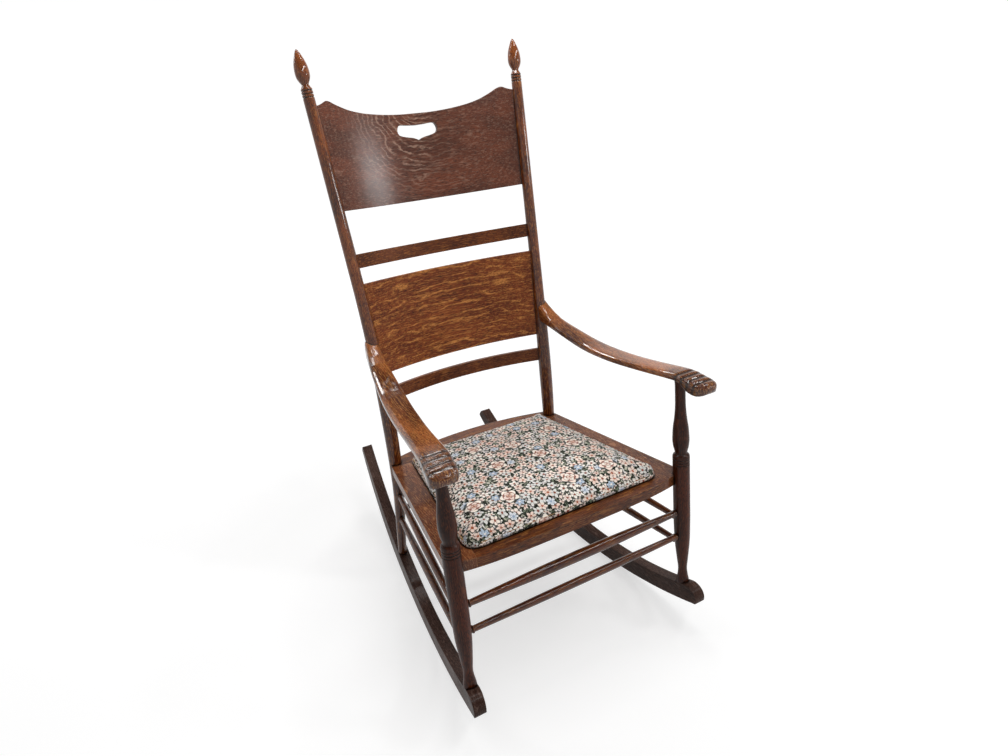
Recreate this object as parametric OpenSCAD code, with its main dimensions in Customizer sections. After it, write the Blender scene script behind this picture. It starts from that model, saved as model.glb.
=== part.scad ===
// Bow rocking chair in oak: turned posts, slats bent backward, arms with a rolled nose,
// a flat seat frame and an upholstered pad. Lengths are millimetres, angles degrees.
// +Z is up and the chair faces -Y. Left and right are the sitter's: left is +X.
// It is drawn with the arc of its rockers on the floor at y = 0 and then leaned to its rest.

/* [Rockers] */
// Radius of the arc that rolls on the floor
rocker_radius = 1032; // [800:1:1200]
// Radius of the top edge's arc
rocker_top_radius = 854; // [750:1:1000]
// Height of the rocker at its lowest place
rocker_depth = 38.8; // [30:0.1:50]
// How far the centre of the top edge's arc lies in front of the floor edge's
rocker_top_ahead = 21.8; // [-40:0.1:40]
// Thickness of the rocker's board
rocker_thick = 25.3; // [20:0.1:32]
// How far the rockers turn inward toward the tail, in degrees
rocker_toe_in = 6.2; // [0:0.1:10]
// Radius of the nose in front of the front post
nose_radius = 27; // [20:1:40]
// How far behind the resting place the tail starts to lift
lift_start = 102; // [60:1:250]
// Radius of the floor edge behind that place
lift_radius = 608; // [500:1:860]
// Reach of the tail behind the drawn resting place
tail_reach = 433.5; // [400:0.5:560]
// Radius of the tail's end
tail_radius = 30; // [24:1:60]
// Angle that the chair leans back when nobody sits in it
rest_lean = 0; // [-2:0.01:8]

/* [Front posts] */
// Half the spacing of the front feet
front_half = 265.2; // [220:0.1:320]
// How far the front feet stand in front of the resting place
front_foot_y = 346.8; // [260:0.1:380]
// Backward lean of the front posts
front_lean = 11.3; // [5:0.1:16]
// Diameter of the straight middle
front_dia = 35.4; // [30:0.1:42]
// Diameter of the foot on the rocker
front_foot_dia = 27.5; // [22:0.1:34]
// Diameter of the ankle above the foot
ankle_dia = 19.2; // [15:0.1:25]
// Height of the ankle above the rocker
ankle_height = 37; // [25:1:60]
// Height where the straight middle starts
middle_start = 170; // [140:1:200]
// Height where the straight middle ends
middle_end = 290; // [260:1:310]
// Diameter of the vase under the arm
vase_dia = 34.7; // [28:0.1:42]
// Height of the widest place of the vase
vase_height = 349; // [335:1:370]
// Diameter of the neck between bead and vase
vase_neck_dia = 25.6; // [20:0.1:30]
// Diameter of the slim top
front_top_dia = 21; // [16:0.1:28]

/* [Back posts] */
// Half the spacing of the back feet
back_foot_half = 218.4; // [180:0.1:260]
// How far the back feet stand behind the resting place
back_foot_y = 102.3; // [80:0.1:180]
// Half the spacing at the knee of the bend
knee_half = 201.5; // [170:0.1:230]
// Distance of the knee behind the resting place
knee_y = 121; // [90:0.1:200]
// Height of the knee
knee_height = 400.3; // [350:1:450]
// Half the spacing of the finial tips
tip_half = 242.5; // [200:0.1:290]
// Distance of the finial tips behind the resting place
tip_y = 371.9; // [340:0.1:460]
// Height of the finial tips
tip_height = 1141.2; // [1050:1:1250]
// Height where the bend starts
bend_low = 183.2; // [165:1:220]
// Height where the bend ends
bend_high = 723.2; // [660:1:760]
// Diameter of the foot
back_foot_dia = 20; // [17:0.1:26]
// Diameter below the bend
back_low_dia = 24.4; // [20:0.1:28]
// Diameter in the middle of the bend
back_knee_dia = 31; // [26:0.1:36]
// Diameter above the bend
back_high_dia = 25.6; // [22:0.1:30]
// Diameter at the ring below the finial
ring_dia = 23; // [19:0.1:28]
// Diameter of the neck below the finial
finial_neck_dia = 13.7; // [10:0.1:18]
// Largest diameter of the finial
finial_dia = 28.6; // [22:0.1:36]
// Length of the finial above its neck
finial_length = 66; // [50:1:80]

/* [Back] */
// Radius that the slats are bent to
bow_radius = 520; // [420:5:800]
// Thickness of the crest and the slats
slat_thick = 9.5; // [8:0.5:16]
// Height of the crest's lower edge
crest_low = 845; // [800:1:880]
// Height of the crest's ears along the back
crest_tall = 217; // [180:1:240]
// Height of the crest's hollow along the back
crest_hollow = 184; // [150:1:210]
// Width of the hand-hold
hold_width = 95; // [70:1:130]
// Height of the hand-hold
hold_tall = 25; // [18:1:35]
// Height of the hand-hold's middle above the crest's lower edge
hold_up = 149; // [120:1:165]
// Height of the upper slat's middle
upper_slat_mid = 745.5; // [730:0.1:780]
// Height of the wide panel's middle
panel_mid = 604; // [560:0.1:640]
// Height of the lower slat's middle
lower_slat_mid = 457.8; // [430:0.1:475]
// Width of a narrow slat along the back
slat_tall = 31; // [24:0.5:40]
// Width of the wide panel along the back
panel_tall = 212; // [150:1:220]

/* [Arms] */
// Height of the arm's top over the front post
arm_height = 588.3; // [560:1:640]
// How far the lowest stretch of the arm lies below its front
arm_dip = 43; // [25:1:60]
// Thickness of the arm's board
arm_thick = 14; // [11:0.5:20]
// Width of the arm at the nose
arm_front_width = 55; // [40:1:75]
// Width of the arm at the back post
arm_back_width = 28; // [25:1:45]
// Depth of the rolled nose
arm_nose_deep = 26.5; // [24:1:42]
// How far the nose reaches in front of the front post's axis
arm_overhang = 70; // [55:1:90]
// How far the middle of the nose lies outside the front post's axis
arm_outset = 15.8; // [5:0.1:20]
// How far the middle of the arm's back end lies outside the back post's axis
arm_back_outset = 1.5; // [0:0.1:6]
// Height where the arm's back end meets the back post
arm_back_height = 590.2; // [580:1:640]
// Number of grooves carved across the nose
groove_count = 4; // [0:1:5]
// Distance between two grooves
groove_pitch = 15; // [12:0.5:18]
// Depth of a groove in the middle of the nose
groove_deep = 2.4; // [1:0.1:4]

/* [Seat frame] */
// Height of the seat plane over the front feet
seat_height = 372.2; // [340:1:400]
// Backward slope of the seat
seat_slope = 8.9; // [4:0.1:14]
// Thickness of the rails
rail_thick = 22; // [18:0.5:28]
// Width of the side rails
side_rail_width = 58; // [50:1:70]
// How far the side rails reach outside the posts' axes
rail_outset = 12.2; // [8:0.1:14]
// How far the frame's front corners lie behind the front posts' axes
corner_set = 9; // [4:0.5:14]
// How far the front rail's middle lies in front of the corners
front_bow = 18.5; // [0:0.5:30]
// How far the back rail's ends reach behind the back posts' axes
back_set = 12.5; // [8:0.5:20]
// How far the back rail's middle lies behind its ends
back_bow = 36.5; // [15:0.5:50]
// Width of the front rail's middle
front_rail_width = 39; // [34:0.5:50]
// How far the back rail's straight edge lies in front of the back posts' axes
back_joint_set = 20; // [18:0.5:30]
// Diameter of the screws that hold the pad
seat_screw_dia = 4; // [3:0.1:5]

/* [Seat pad] */
// Distance of the pad's front edge behind the front posts
pad_front_gap = 16; // [10:1:30]
// Distance of the pad's back edge in front of the back posts
pad_back_gap = 12; // [8:1:30]
// Width of rail left bare beside the pad
pad_side_gap = 45; // [35:1:50]
// Radius of the pad's front corners
pad_front_round = 30; // [20:1:45]
// Radius of the pad's back corners
pad_back_round = 18; // [16:1:35]
// Height of the pad's rolled edge
pad_edge_height = 25; // [20:1:35]
// Height of the pad's middle
pad_crown = 40; // [30:1:60]
// Thickness of the board under the padding
board_thick = 9; // [6:0.5:14]
// Thickness of the woven cover
cover_thick = 1.2; // [0.8:0.1:2]
// Width of the cover turned under the board
cover_turn = 22; // [19:1:30]

/* [Stretchers] */
// Height of the upper front stretcher
front_upper_height = 277.6; // [250:0.1:300]
// Height of the lower front stretcher
front_lower_height = 220.5; // [205:0.1:230]
// Diameter of the upper front stretcher's swell
front_upper_dia = 22; // [16:0.1:28]
// Diameter of the lower front stretcher's swell
front_lower_dia = 17; // [14:0.1:22]
// Front height of the upper side stretchers
side_upper_front = 254.8; // [240:0.1:262]
// Back height of the upper side stretchers
side_upper_back = 215.4; // [205:0.1:230]
// Front height of the lower side stretchers
side_lower_front = 197.4; // [185:0.1:203]
// Back height of the lower side stretchers
side_lower_back = 150.9; // [130:0.1:155]
// Height of the back stretcher
back_height = 173.2; // [168:0.1:190]
// Diameter of the thinner stretchers' swell
side_dia = 17; // [14:0.1:20]
// Diameter of the stretchers' ends
stretcher_end_dia = 12.4; // [9:0.1:13]
// Depth of a stretcher's end in its post
stretcher_seat = 9; // [6:0.5:11]

/* [View] */
// Piece to build, or all

/* [Hidden] */
$fn = 64;
wide_sides = 720;
overrun = 2;
clearance = 0.2;
sweep_sides = 32;
sweep_rings = 14;
bend_seam = 0.1;
smooth_steps = 4;
tenon_long = 18;
tenon_dia = 15;
screw_dia = 4.5;
screw_head = 9;
screw_head_tall = 3;
screw_sink = 2.5;
screw_bite = 24;
tack_head_dia = 6;
tack_head_tall = 0.8;
tack_pin_dia = 1.4;
tack_pin_long = 7;
joint_thick = 8;
joint_long = 14;
joint_wide = 24;
joint_step = 5;
groove_cut = 1.2;
spare = 6;
bulge_power = 0.85;
slat_stop = 5.5;
tack_share = 0.2;
collar_rise = 1.6;
ring_pitch = 6.2;
ring_wide = 2.6;
ring_lead = 1.6;
ring_drop = 8.3;
turn_pitch = 6.2;
turn_wide = 2.4;
vase_low_step = 11;
arm_tenon = 8;
arm_end_drop = 20;
arm_screw_drop = 34;
arm_sides = 24;
tip_steps = 5;
groove_steps = 6;
arm_steps = 22;
arm_screw_long = 60;
groove_first = 12;
pad_roll = 12;
seat_screw_in = 5;
pad_edge_points = 3;
pad_arc_points = 4;
tack_counts = [4, 5, 3];
oak = [0.36, 0.20, 0.12];
dark_oak = [0.27, 0.15, 0.10];
cloth = [0.72, 0.66, 0.58];
steel = [0.55, 0.55, 0.56];

// Turned profiles and outlines, as shares of the sizes they follow
stretcher_shares = [[0, 0], [0.3, 0.42], [0.65, 0.85], [1, 1]];
foot_shares = [[0, 1], [0.2, 0.81], [0.62, 0.2], [1, 0]];
calf_shares = [[0.15, 0.25], [0.34, 0.56], [0.52, 0.8], [0.71, 0.91], [0.89, 0.97], [1, 1]];
groove_shares = [[0, 0], [0.2, 0.7], [0.5, 1], [0.8, 0.7], [1, 0]];
bead_shares = [[0, 1], [0.2, 1], [0.4, 0.94], [0.58, 0.84], [0.74, 0.6], [0.9, 0.16], [1, 0]];
vase_shares = [[0.16, 0.12], [0.42, 0.61], [0.7, 0.89], [1, 1]];
vase_top_shares = [[0.17, 0.81], [0.31, 0.44], [0.44, 0.18], [0.56, 0.04], [0.74, 0], [0.9, 0.03], [1, 0.2]];
low_shares = [[0, 0], [0.38, 0.3], [0.7, 0.58], [1, 1]];
finial_low_shares = [[0, 0], [0.05, 0.19], [0.1, 0.46], [0.2, 0.86], [0.29, 0.99], [0.37, 1]];
finial_high_shares = [[0.48, 0.96], [0.6, 0.86], [0.72, 0.69], [0.82, 0.51], [0.91, 0.34], [0.97, 0.18],
    [1, 0.05]];
crest_shares = [[1, 0.66], [0.96, 0.74], [0.92, 0.85], [0.895, 0.95], [0.87, 1], [0.84, 0.96], [0.8, 0.82],
    [0.755, 0.68], [0.665, 0.44], [0.565, 0.27], [0.46, 0.155], [0.31, 0.05], [0.155, 0], [0, 0]];
hold_shares = [[0, 0.43], [0.43, 0.47], [0.78, 0.52], [0.92, 0.42], [1, 0.04], [0.94, -0.3],
    [0.75, -0.45], [0.52, -0.55], [0.28, -0.63], [0.1, -0.76], [0, -0.86]];
arm_shares = [[0.16, -0.06, 1.1], [0.32, -0.49, 1.04], [0.48, -0.84, 0.98], [0.64, -1, 0.92],
    [0.8, -0.87, 0.96], [0.88, -0.72, 1.25], [0.917, -0.52, 1.86], [0.958, -0.24, 2.72], [1, 0.08, 3.55]];
nose_top_shares = [[0, -0.52], [0.1, -0.29], [0.29, -0.13], [0.61, -0.02], [1.03, 0.03], [1.7, 0.03]];
nose_low_shares = [[0, -0.52], [0.06, -0.74], [0.26, -0.91], [0.58, -1], [0.97, -1.01], [1.29, -0.96],
    [1.74, -0.76], [2.2, -0.56]];
// How square an arm's section is, above and below its middle
arm_crown_share = 0.64;
arm_flat_share = 0.26;
arm_width_shares = [[0.09, 0.96], [0.16, 0.88], [0.32, 0.8], [0.48, 0.84], [0.64, 0.82], [0.8, 0.6],
    [0.88, 0.4], [0.96, 0.14], [1.03, 0]];
arm_tip_shares = [[0, 0], [0.01, 0.3], [0.05, 0.56], [0.13, 0.8], [0.24, 0.95], [0.4, 1]];
// Rings of the pad: inset, height, and which way its cover is thick there
pad_side_shares = [[0.22, 0, 1, -1], [0.05, 0.2, 1, 0], [0, 0.45, 1, 0], [0.1, 0.75, 1, 0.2],
    [0.4, 0.95, 0.7, 0.7], [1, 1.08, 0.2, 1]];
pad_dome_shares = [0.86, 0.66, 0.42, 0.16];
screw_shares = [0.2, 0.8];

// Smooth curve through a list of points, ends kept
function catmull(a, b, c, d, t) =
    0.5 * ((2 * b) + (c - a) * t + (2 * a - 5 * b + 4 * c - d) * t * t
    + (3 * b - a - 3 * c + d) * t * t * t);
function smooth(p) = concat(
    [for (i = [0:len(p) - 2]) for (k = [0:smooth_steps - 1])
        catmull(p[max(i - 1, 0)], p[i], p[i + 1], p[min(i + 2, len(p) - 1)], k / smooth_steps)],
    [p[len(p) - 1]]);
function flipped(p) = [for (i = [len(p) - 1:-1:0]) p[i]];
function unit(v) = v / norm(v);

// Floor arc and top arc of the rockers, in the plane [y, z]
floor_centre = [0, rocker_radius];
top_centre = [-rocker_top_ahead, rocker_depth + rocker_top_radius];
function rocker_top(y) =
    top_centre[1] - sqrt(pow(rocker_top_radius, 2) - pow(y + rocker_top_ahead, 2));
nose_turn = asin((front_foot_y + front_foot_dia / 2 - rocker_top_ahead) / rocker_top_radius);
lift_turn = asin(lift_start / rocker_radius);
lift_centre = floor_centre + (rocker_radius - lift_radius) * [sin(lift_turn), -cos(lift_turn)];
tail_turn = asin((tail_reach - tail_radius - lift_centre[0]) / lift_radius);
tail_low = lift_centre + lift_radius * [sin(tail_turn), -cos(tail_turn)];
tail_depth = rocker_top(tail_low[0]) - tail_low[1];

// Front posts: axis from the foot, and the arm's underside on it
front_foot = [front_half, -front_foot_y, rocker_top(-front_foot_y)];
front_way = [0, sin(front_lean), cos(front_lean)];
function front_at(z) = front_foot + front_way * (z - front_foot[2]) / front_way[2];
arm_under = arm_height - arm_thick;
front_length = (arm_under - front_foot[2]) / front_way[2];

// Back posts: foot, knee and tip, with a quadratic curve through the bend
back_foot = [back_foot_half, back_foot_y, rocker_top(back_foot_y)];
knee = [knee_half, knee_y, knee_height];
tip = [tip_half, tip_y, tip_height];
low_way = (knee - back_foot) / (knee_height - back_foot[2]);
high_way = (tip - knee) / (tip_height - knee_height);
bend_start = back_foot + low_way * (bend_low - back_foot[2]);
bend_end = knee + high_way * (bend_high - knee_height);
function bend_place(t) = bend_start * pow(1 - t, 2) + knee * 2 * t * (1 - t) + bend_end * t * t;
function bend_way(t) = (knee - bend_start) * (1 - t) + (bend_end - knee) * t;
bend_curve = bend_low - 2 * knee_height + bend_high;
function bend_share(z) =
    (sqrt(pow(knee_height - bend_low, 2) + bend_curve * (z - bend_low))
    - (knee_height - bend_low)) / bend_curve;
function back_at(z) =
    z < bend_low ? back_foot + low_way * (z - back_foot[2]) :
    z > bend_high ? knee + high_way * (z - knee_height) : bend_place(bend_share(z));

// Seat: its own frame, with v along the slope from the front feet's line and w square to it
seat_origin = [0, -front_foot_y, seat_height];
function seat_v(p) = (p[1] + front_foot_y) * cos(seat_slope) - (p[2] - seat_height) * sin(seat_slope);
function seat_z(y) = seat_height - tan(seat_slope) * (y + front_foot_y);
function seat_hit(z, turns) = turns == 0 ? z : seat_hit(seat_z(back_at(z)[1]), turns - 1);
front_seat = front_at((seat_height + tan(seat_slope) * tan(front_lean) * front_foot[2])
    / (1 + tan(seat_slope) * tan(front_lean)));
back_seat = back_at(seat_hit(seat_z(back_foot_y), 3));
front_v = seat_v(front_seat);
back_v = seat_v(back_seat);
rail_turn = atan((front_seat[0] - back_seat[0]) / (back_v - front_v));
function rail_outer(v) = front_seat[0] + rail_outset - (v - front_v) * tan(rail_turn);
rail_step = side_rail_width / cos(rail_turn);
function rail_inner(v) = rail_outer(v) - rail_step;
rail_front_v = front_v + corner_set;
rail_back_v = back_v + back_set;
back_joint_v = back_v - back_joint_set;
front_joint_v = rail_front_v - front_bow + front_rail_width;
back_corner = rail_outer(rail_back_v);
back_rail_radius = (pow(back_corner, 2) + pow(back_bow, 2)) / (2 * back_bow);
frame_wide = 2 * (front_half + side_rail_width);
front_points = 24;
front_power = 4;

// Widths and heights at rest, for the chair's place over the origin
nose_centre = top_centre
    - (rocker_top_radius + nose_radius - clearance) * [sin(nose_turn), cos(nose_turn)];
tail_centre = lift_centre
    + (lift_radius - tail_depth / 2) * [sin(tail_turn), -cos(tail_turn)];
function rested(c) = c[0] * cos(rest_lean) + (c[1] - rocker_radius) * sin(rest_lean);
rest_shift = -(rested(nose_centre) - nose_radius + rested(tail_centre) + tail_radius) / 2;

module at_rest() {
    translate([0, rest_shift, rocker_radius])
        rotate([-rest_lean, 0, 0])
            translate([0, 0, -rocker_radius])
                children();
}

module sided(side) {
    mirror([side < 0 ? 1 : 0, 0, 0])
        children();
}

module along(place, way) {
    u = unit(way);
    translate(place)
        rotate([0, acos(u[2]), atan2(u[1], u[0])])
            children();
}

module turned(profile) {
    rotate_extrude()
        polygon(concat([[0, profile[0][1]]], profile, [[0, profile[len(profile) - 1][1]]]));
}

// Rockers
rocker_wide = 2 * (front_half + rocker_thick);
rocker_far = 2 * rocker_top_radius;

module disc(centre, radius) {
    translate([0, centre[0], centre[1]])
        rotate([0, 90, 0])
            cylinder(h = rocker_wide, r = radius, center = true, $fn = wide_sides);
}

module beside(centre, turn, start) {
    translate([0, centre[0], centre[1]])
        rotate([turn, 0, 0])
            translate([-rocker_wide / 2, start, -rocker_far])
                cube([rocker_wide, rocker_far, rocker_far]);
}

module rocker_board() {
    translate([front_half, -front_foot_y, 0])
        rotate([0, 0, rocker_toe_in])
            translate([-rocker_thick / 2, -rocker_far / 2, 0])
                cube([rocker_thick, rocker_far, rocker_radius]);
}

// Distance from a foot down its post's axis to the floor arc
function foot_down(foot, way) =
    let (u = unit(way), d = [foot[1], foot[2] - rocker_radius],
        a = pow(u[1], 2) + pow(u[2], 2), b = 2 * (d[0] * u[1] + d[1] * u[2]),
        c = pow(norm(d), 2) - pow(rocker_radius, 2))
    (b + sqrt(pow(b, 2) - 4 * a * c)) / (2 * a);

module foot_screw(foot, way) {
    along(foot, way)
        translate([0, 0, screw_sink - foot_down(foot, way)]) {
            cylinder(h = screw_head_tall, r = screw_head / 2);
            cylinder(h = foot_down(foot, way) + screw_bite, r = screw_dia / 2);
        }
}

module foot_bore(foot, way) {
    along(foot, way) {
        translate([0, 0, -tenon_long - clearance])
            cylinder(h = 2 * tenon_long, r = tenon_dia / 2 + clearance);
        translate([0, 0, -foot_down(foot, way) - spare])
            cylinder(h = spare + screw_sink + screw_head_tall + clearance,
                r = screw_head / 2 + clearance);
        translate([0, 0, -foot_down(foot, way)])
            cylinder(h = foot_down(foot, way), r = screw_dia / 2 + clearance);
    }
}

module rocker() {
    difference() {
        intersection() {
            difference() {
                union() {
                    intersection() {
                        disc(floor_centre, rocker_radius);
                        beside(floor_centre, lift_turn, -rocker_far);
                    }
                    intersection() {
                        disc(lift_centre, lift_radius);
                        beside(floor_centre, lift_turn, 0);
                    }
                }
                disc(top_centre, rocker_top_radius);
            }
            rocker_board();
            union() {
                intersection() {
                    beside(top_centre, -nose_turn, 0);
                    beside(lift_centre, tail_turn, -rocker_far);
                }
                disc(nose_centre, nose_radius);
                disc(tail_centre, tail_radius);
            }
        }
        foot_bore(front_foot, front_way);
        foot_bore(back_foot, low_way);
    }
}

// Stretchers: each runs between two posts and stops short of their axes
side_upper_ends = [front_at(side_upper_front), back_at(side_upper_back)];
side_lower_ends = [front_at(side_lower_front), back_at(side_lower_back)];
function other_side(p) = [-p[0], p[1], p[2]];

front_stop = front_dia / 2 - stretcher_seat;
back_stop = back_low_dia / 2 - stretcher_seat;

module stretcher(first, second, swell, stops) {
    long = norm(second - first) - stops[0] - stops[1];
    end_r = stretcher_end_dia / 2;
    bare = stretcher_seat + clearance;
    half = concat(
        [[end_r, 0], [end_r, bare]],
        [[end_r + collar_rise, bare + collar_rise], [end_r + collar_rise, bare + 2 * collar_rise]],
        smooth([for (q = stretcher_shares)
            [end_r + (swell / 2 - end_r) * q[1],
                bare + 3 * collar_rise + (long / 2 - bare - 3 * collar_rise) * q[0]]]));
    whole = concat(half, [for (q = flipped(half)) if (q[1] < long / 2) [q[0], long - q[1]]]);
    along(first + unit(second - first) * stops[0], second - first)
        turned(whole);
}

module stretcher_bore(first, second, stop) {
    along(first + unit(second - first) * (stop - clearance), second - first)
        cylinder(h = front_dia, r = stretcher_end_dia / 2 + clearance);
}

module front_bores() {
    for (h = [front_upper_height, front_lower_height])
        stretcher_bore(front_at(h), other_side(front_at(h)), front_stop);
    stretcher_bore(side_upper_ends[0], side_upper_ends[1], front_stop);
    stretcher_bore(side_lower_ends[0], side_lower_ends[1], front_stop);
}

module back_bores() {
    stretcher_bore(back_at(back_height), other_side(back_at(back_height)), back_stop);
    stretcher_bore(side_upper_ends[1], side_upper_ends[0], back_stop);
    stretcher_bore(side_lower_ends[1], side_lower_ends[0], back_stop);
}

// Front posts
vase_low = middle_end + 2 * turn_pitch + turn_wide + vase_low_step;

function front_profile(long) = concat(
    [[front_foot_dia / 2, -spare]],
    smooth(concat(
        [for (q = foot_shares)
            [(ankle_dia + (front_foot_dia - ankle_dia) * q[1]) / 2, ankle_height * q[0]]],
        [for (q = calf_shares)
            [(ankle_dia + (front_dia - ankle_dia) * q[1]) / 2,
                ankle_height + (middle_start - ankle_height) * q[0]]])),
    [for (k = [0:2]) for (q = groove_shares)
        [front_dia / 2 - q[1] * groove_cut, middle_end + k * turn_pitch + q[0] * turn_wide]],
    smooth(concat(
        [for (q = bead_shares)
            [(vase_neck_dia + (front_dia - vase_neck_dia) * q[1]) / 2,
                vase_low - vase_low_step * (1 - q[0])]],
        [for (q = vase_shares)
            [(vase_neck_dia + (vase_dia - vase_neck_dia) * q[1]) / 2,
                vase_low + (vase_height - vase_low) * q[0]]],
        [for (q = vase_top_shares)
            [(front_top_dia + (vase_dia - front_top_dia) * q[1]) / 2,
                vase_height + (long - vase_height) * q[0]]])),
    [[front_top_dia / 2 + groove_cut, long + spare]]);

module front_post() {
    difference() {
        union() {
            difference() {
                intersection() {
                    along(front_foot, front_way)
                        turned(front_profile(front_length));
                    disc(top_centre, rocker_top_radius);
                }
                arm_seat();
            }
            along(front_foot, front_way) {
                translate([0, 0, -tenon_long])
                    cylinder(h = 2 * tenon_long, r = tenon_dia / 2);
                translate([0, 0, front_length - spare])
                    cylinder(h = spare + arm_tenon, r = front_top_dia / 2 - groove_cut);
            }
        }
        front_bores();
    }
}

// Back posts
function sweep_radius(t) =
    (back_low_dia + (back_high_dia - back_low_dia) * t) / 2
    + (back_knee_dia - (back_low_dia + back_high_dia) / 2) / 2
        * pow(sin(180 * pow(t, bulge_power)), 2);
function post_radius(z) = sweep_radius(bend_share(z));
low_length = norm(bend_start - back_foot);
high_length = norm(tip - bend_end);
neck_at = high_length - finial_length;

low_profile = concat(
    [[back_foot_dia / 2, -spare]],
    smooth([for (q = low_shares)
        [(back_foot_dia + (back_low_dia - back_foot_dia) * q[1]) / 2, low_length * q[0]]]));
high_profile = concat(
    [[back_high_dia / 2, 0]],
    [for (k = [0:2]) for (q = groove_shares)
        [ring_dia / 2 - q[1] * groove_cut,
            neck_at - ring_drop - ring_lead - (2 - k) * ring_pitch - (1 - q[0]) * ring_wide]],
    [[ring_dia / 2, neck_at - ring_drop],
        [(ring_dia + finial_neck_dia) / 4, neck_at - ring_drop / 2]],
    smooth(concat(
        [for (q = finial_low_shares)
            [(finial_neck_dia + (finial_dia - finial_neck_dia) * q[1]) / 2, neck_at + finial_length * q[0]]],
        [for (q = finial_high_shares) [finial_dia / 2 * q[1], neck_at + finial_length * q[0]]])));

// Faces between rings of points, and the flat caps at both ends
function quad(a, b, c, d) = [[a, b, c], [a, c, d]];
function band(first, second, count) =
    [for (j = [0:count - 1]) for (f = quad(first + j, second + j,
        second + (j + 1) % count, first + (j + 1) % count)) f];
function up(first, count) = [for (j = [count - 1:-1:0]) first + j];
function down(first, count) = [for (j = [0:count - 1]) first + j];
function top_fan(first, count, pole) = [for (j = [0:count - 1]) [first + (j + 1) % count, first + j, pole]];
function low_fan(first, count, pole) = [for (j = [0:count - 1]) [first + j, first + (j + 1) % count, pole]];
function bands(first, rings, count) =
    [for (k = [0:rings - 2]) for (f = band(first + k * count, first + (k + 1) * count, count)) f];

function bend_ring(place, way, radius) =
    let (w = unit(way), u = unit(cross([0, 1, 0], w)), v = cross(w, u))
    [for (j = [0:sweep_sides - 1])
        place + (radius - bend_seam) * (cos(360 * j / sweep_sides) * u + sin(360 * j / sweep_sides) * v)];

// The bent stretch: its first and last rings lie inside the straight stretches
module bend() {
    points = concat(
        bend_ring(bend_start - overrun * unit(low_way), low_way, sweep_radius(0)),
        [for (k = [1:sweep_rings - 1])
            for (p = bend_ring(bend_place(k / sweep_rings), bend_way(k / sweep_rings),
                sweep_radius(k / sweep_rings))) p],
        bend_ring(bend_end + overrun * unit(high_way), high_way, sweep_radius(1)));
    polyhedron(points = points, faces = concat([down(0, sweep_sides)],
        bands(0, sweep_rings + 1, sweep_sides), [up(sweep_rings * sweep_sides, sweep_sides)]));
}

module back_post() {
    difference() {
        union() {
            intersection() {
                along(back_foot, low_way)
                    turned(low_profile);
                disc(top_centre, rocker_top_radius);
            }
            along(back_foot, low_way)
                translate([0, 0, -tenon_long])
                    cylinder(h = 2 * tenon_long, r = tenon_dia / 2);
            bend();
            along(bend_end, high_way)
                turned(high_profile);
        }
        back_bores();
        arm_screw_bore();
    }
}

// Back: bowed boards between the posts
module on_back(z, tall) {
    low = back_at(z - tall / 2);
    high = back_at(z + tall / 2);
    translate([0, back_at(z)[1], z])
        rotate([atan((low[1] - high[1]) / (high[2] - low[2])), 0, 0])
            children();
}

module bowed(half, low, high) {
    face = -slat_thick / 2 - sqrt(pow(bow_radius, 2) - pow(half, 2));
    translate([0, face, low])
        difference() {
            cylinder(h = high - low, r = bow_radius + slat_thick, $fn = wide_sides);
            translate([0, 0, -overrun])
                cylinder(h = high - low + 2 * overrun, r = bow_radius, $fn = wide_sides);
        }
}

module board_outline(points) {
    translate([0, bow_radius, 0])
        rotate([90, 0, 0])
            linear_extrude(bow_radius * 2)
                polygon(points);
}

function slat_half(z) = back_at(z)[0] - slat_stop;

module slat(z, tall) {
    low_half = slat_half(z - tall / 2);
    high_half = slat_half(z + tall / 2);
    on_back(z, tall)
        intersection() {
            bowed(slat_half(z) + slat_stop, -tall, tall);
            board_outline([[-low_half, -tall / 2], [low_half, -tall / 2],
                [high_half, tall / 2], [-high_half, tall / 2]]);
        }
}

crest_half = slat_half(crest_low + crest_hollow);
crest_edge = smooth([for (q = crest_shares)
    [q[0] * crest_half, crest_hollow + (crest_tall - crest_hollow) * q[1]]]);
crest_outline = concat(
    [[-slat_half(crest_low), 0], [slat_half(crest_low), 0]],
    crest_edge,
    [for (q = flipped(crest_edge)) if (q[0] > 0) [-q[0], q[1]]]);
hold_edge = smooth([for (q = hold_shares) [q[0] * hold_width / 2, hold_up + q[1] * hold_tall]]);
hold_outline = concat(hold_edge, [for (q = flipped(hold_edge)) if (q[0] > 0) [-q[0], q[1]]]);

module crest() {
    translate([0, back_at(crest_low)[1], crest_low])
        rotate([-atan(high_way[1]), 0, 0])
            intersection() {
                bowed(crest_half + slat_stop, -overrun, crest_tall + overrun);
                difference() {
                    board_outline(crest_outline);
                    board_outline(hold_outline);
                }
            }
}

// Arms
arm_front = front_at(arm_under);
arm_back = back_at(arm_back_height);
arm_start = arm_front[1] - arm_overhang;
arm_long = arm_back[1] - arm_start;
function arm_mid(share) = arm_front[0] + arm_outset
    + (arm_back[0] + arm_back_outset - arm_front[0] - arm_outset) * share;
function arm_place(q) = [arm_start + arm_long * q[0], arm_height + arm_dip * q[1]];
function nose_place(q) = [arm_start, arm_height] + arm_nose_deep * q;
arm_over = smooth(concat([for (q = nose_top_shares) nose_place(q)], [for (q = arm_shares) arm_place(q)]));
arm_below = smooth(concat([for (q = nose_low_shares) nose_place(q)],
    [for (q = arm_shares) arm_place(q) - [0, arm_thick * q[2]]]));
arm_half = smooth([for (q = arm_width_shares)
    [q[0], (arm_back_width + (arm_front_width - arm_back_width) * q[1]) / 2]]);
tip_half_points = smooth([for (q = arm_tip_shares)
    [q[0] * arm_front_width / arm_long, q[1] * arm_front_width / 2]]);
arm_plan = concat(tip_half_points, arm_half);

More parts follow.
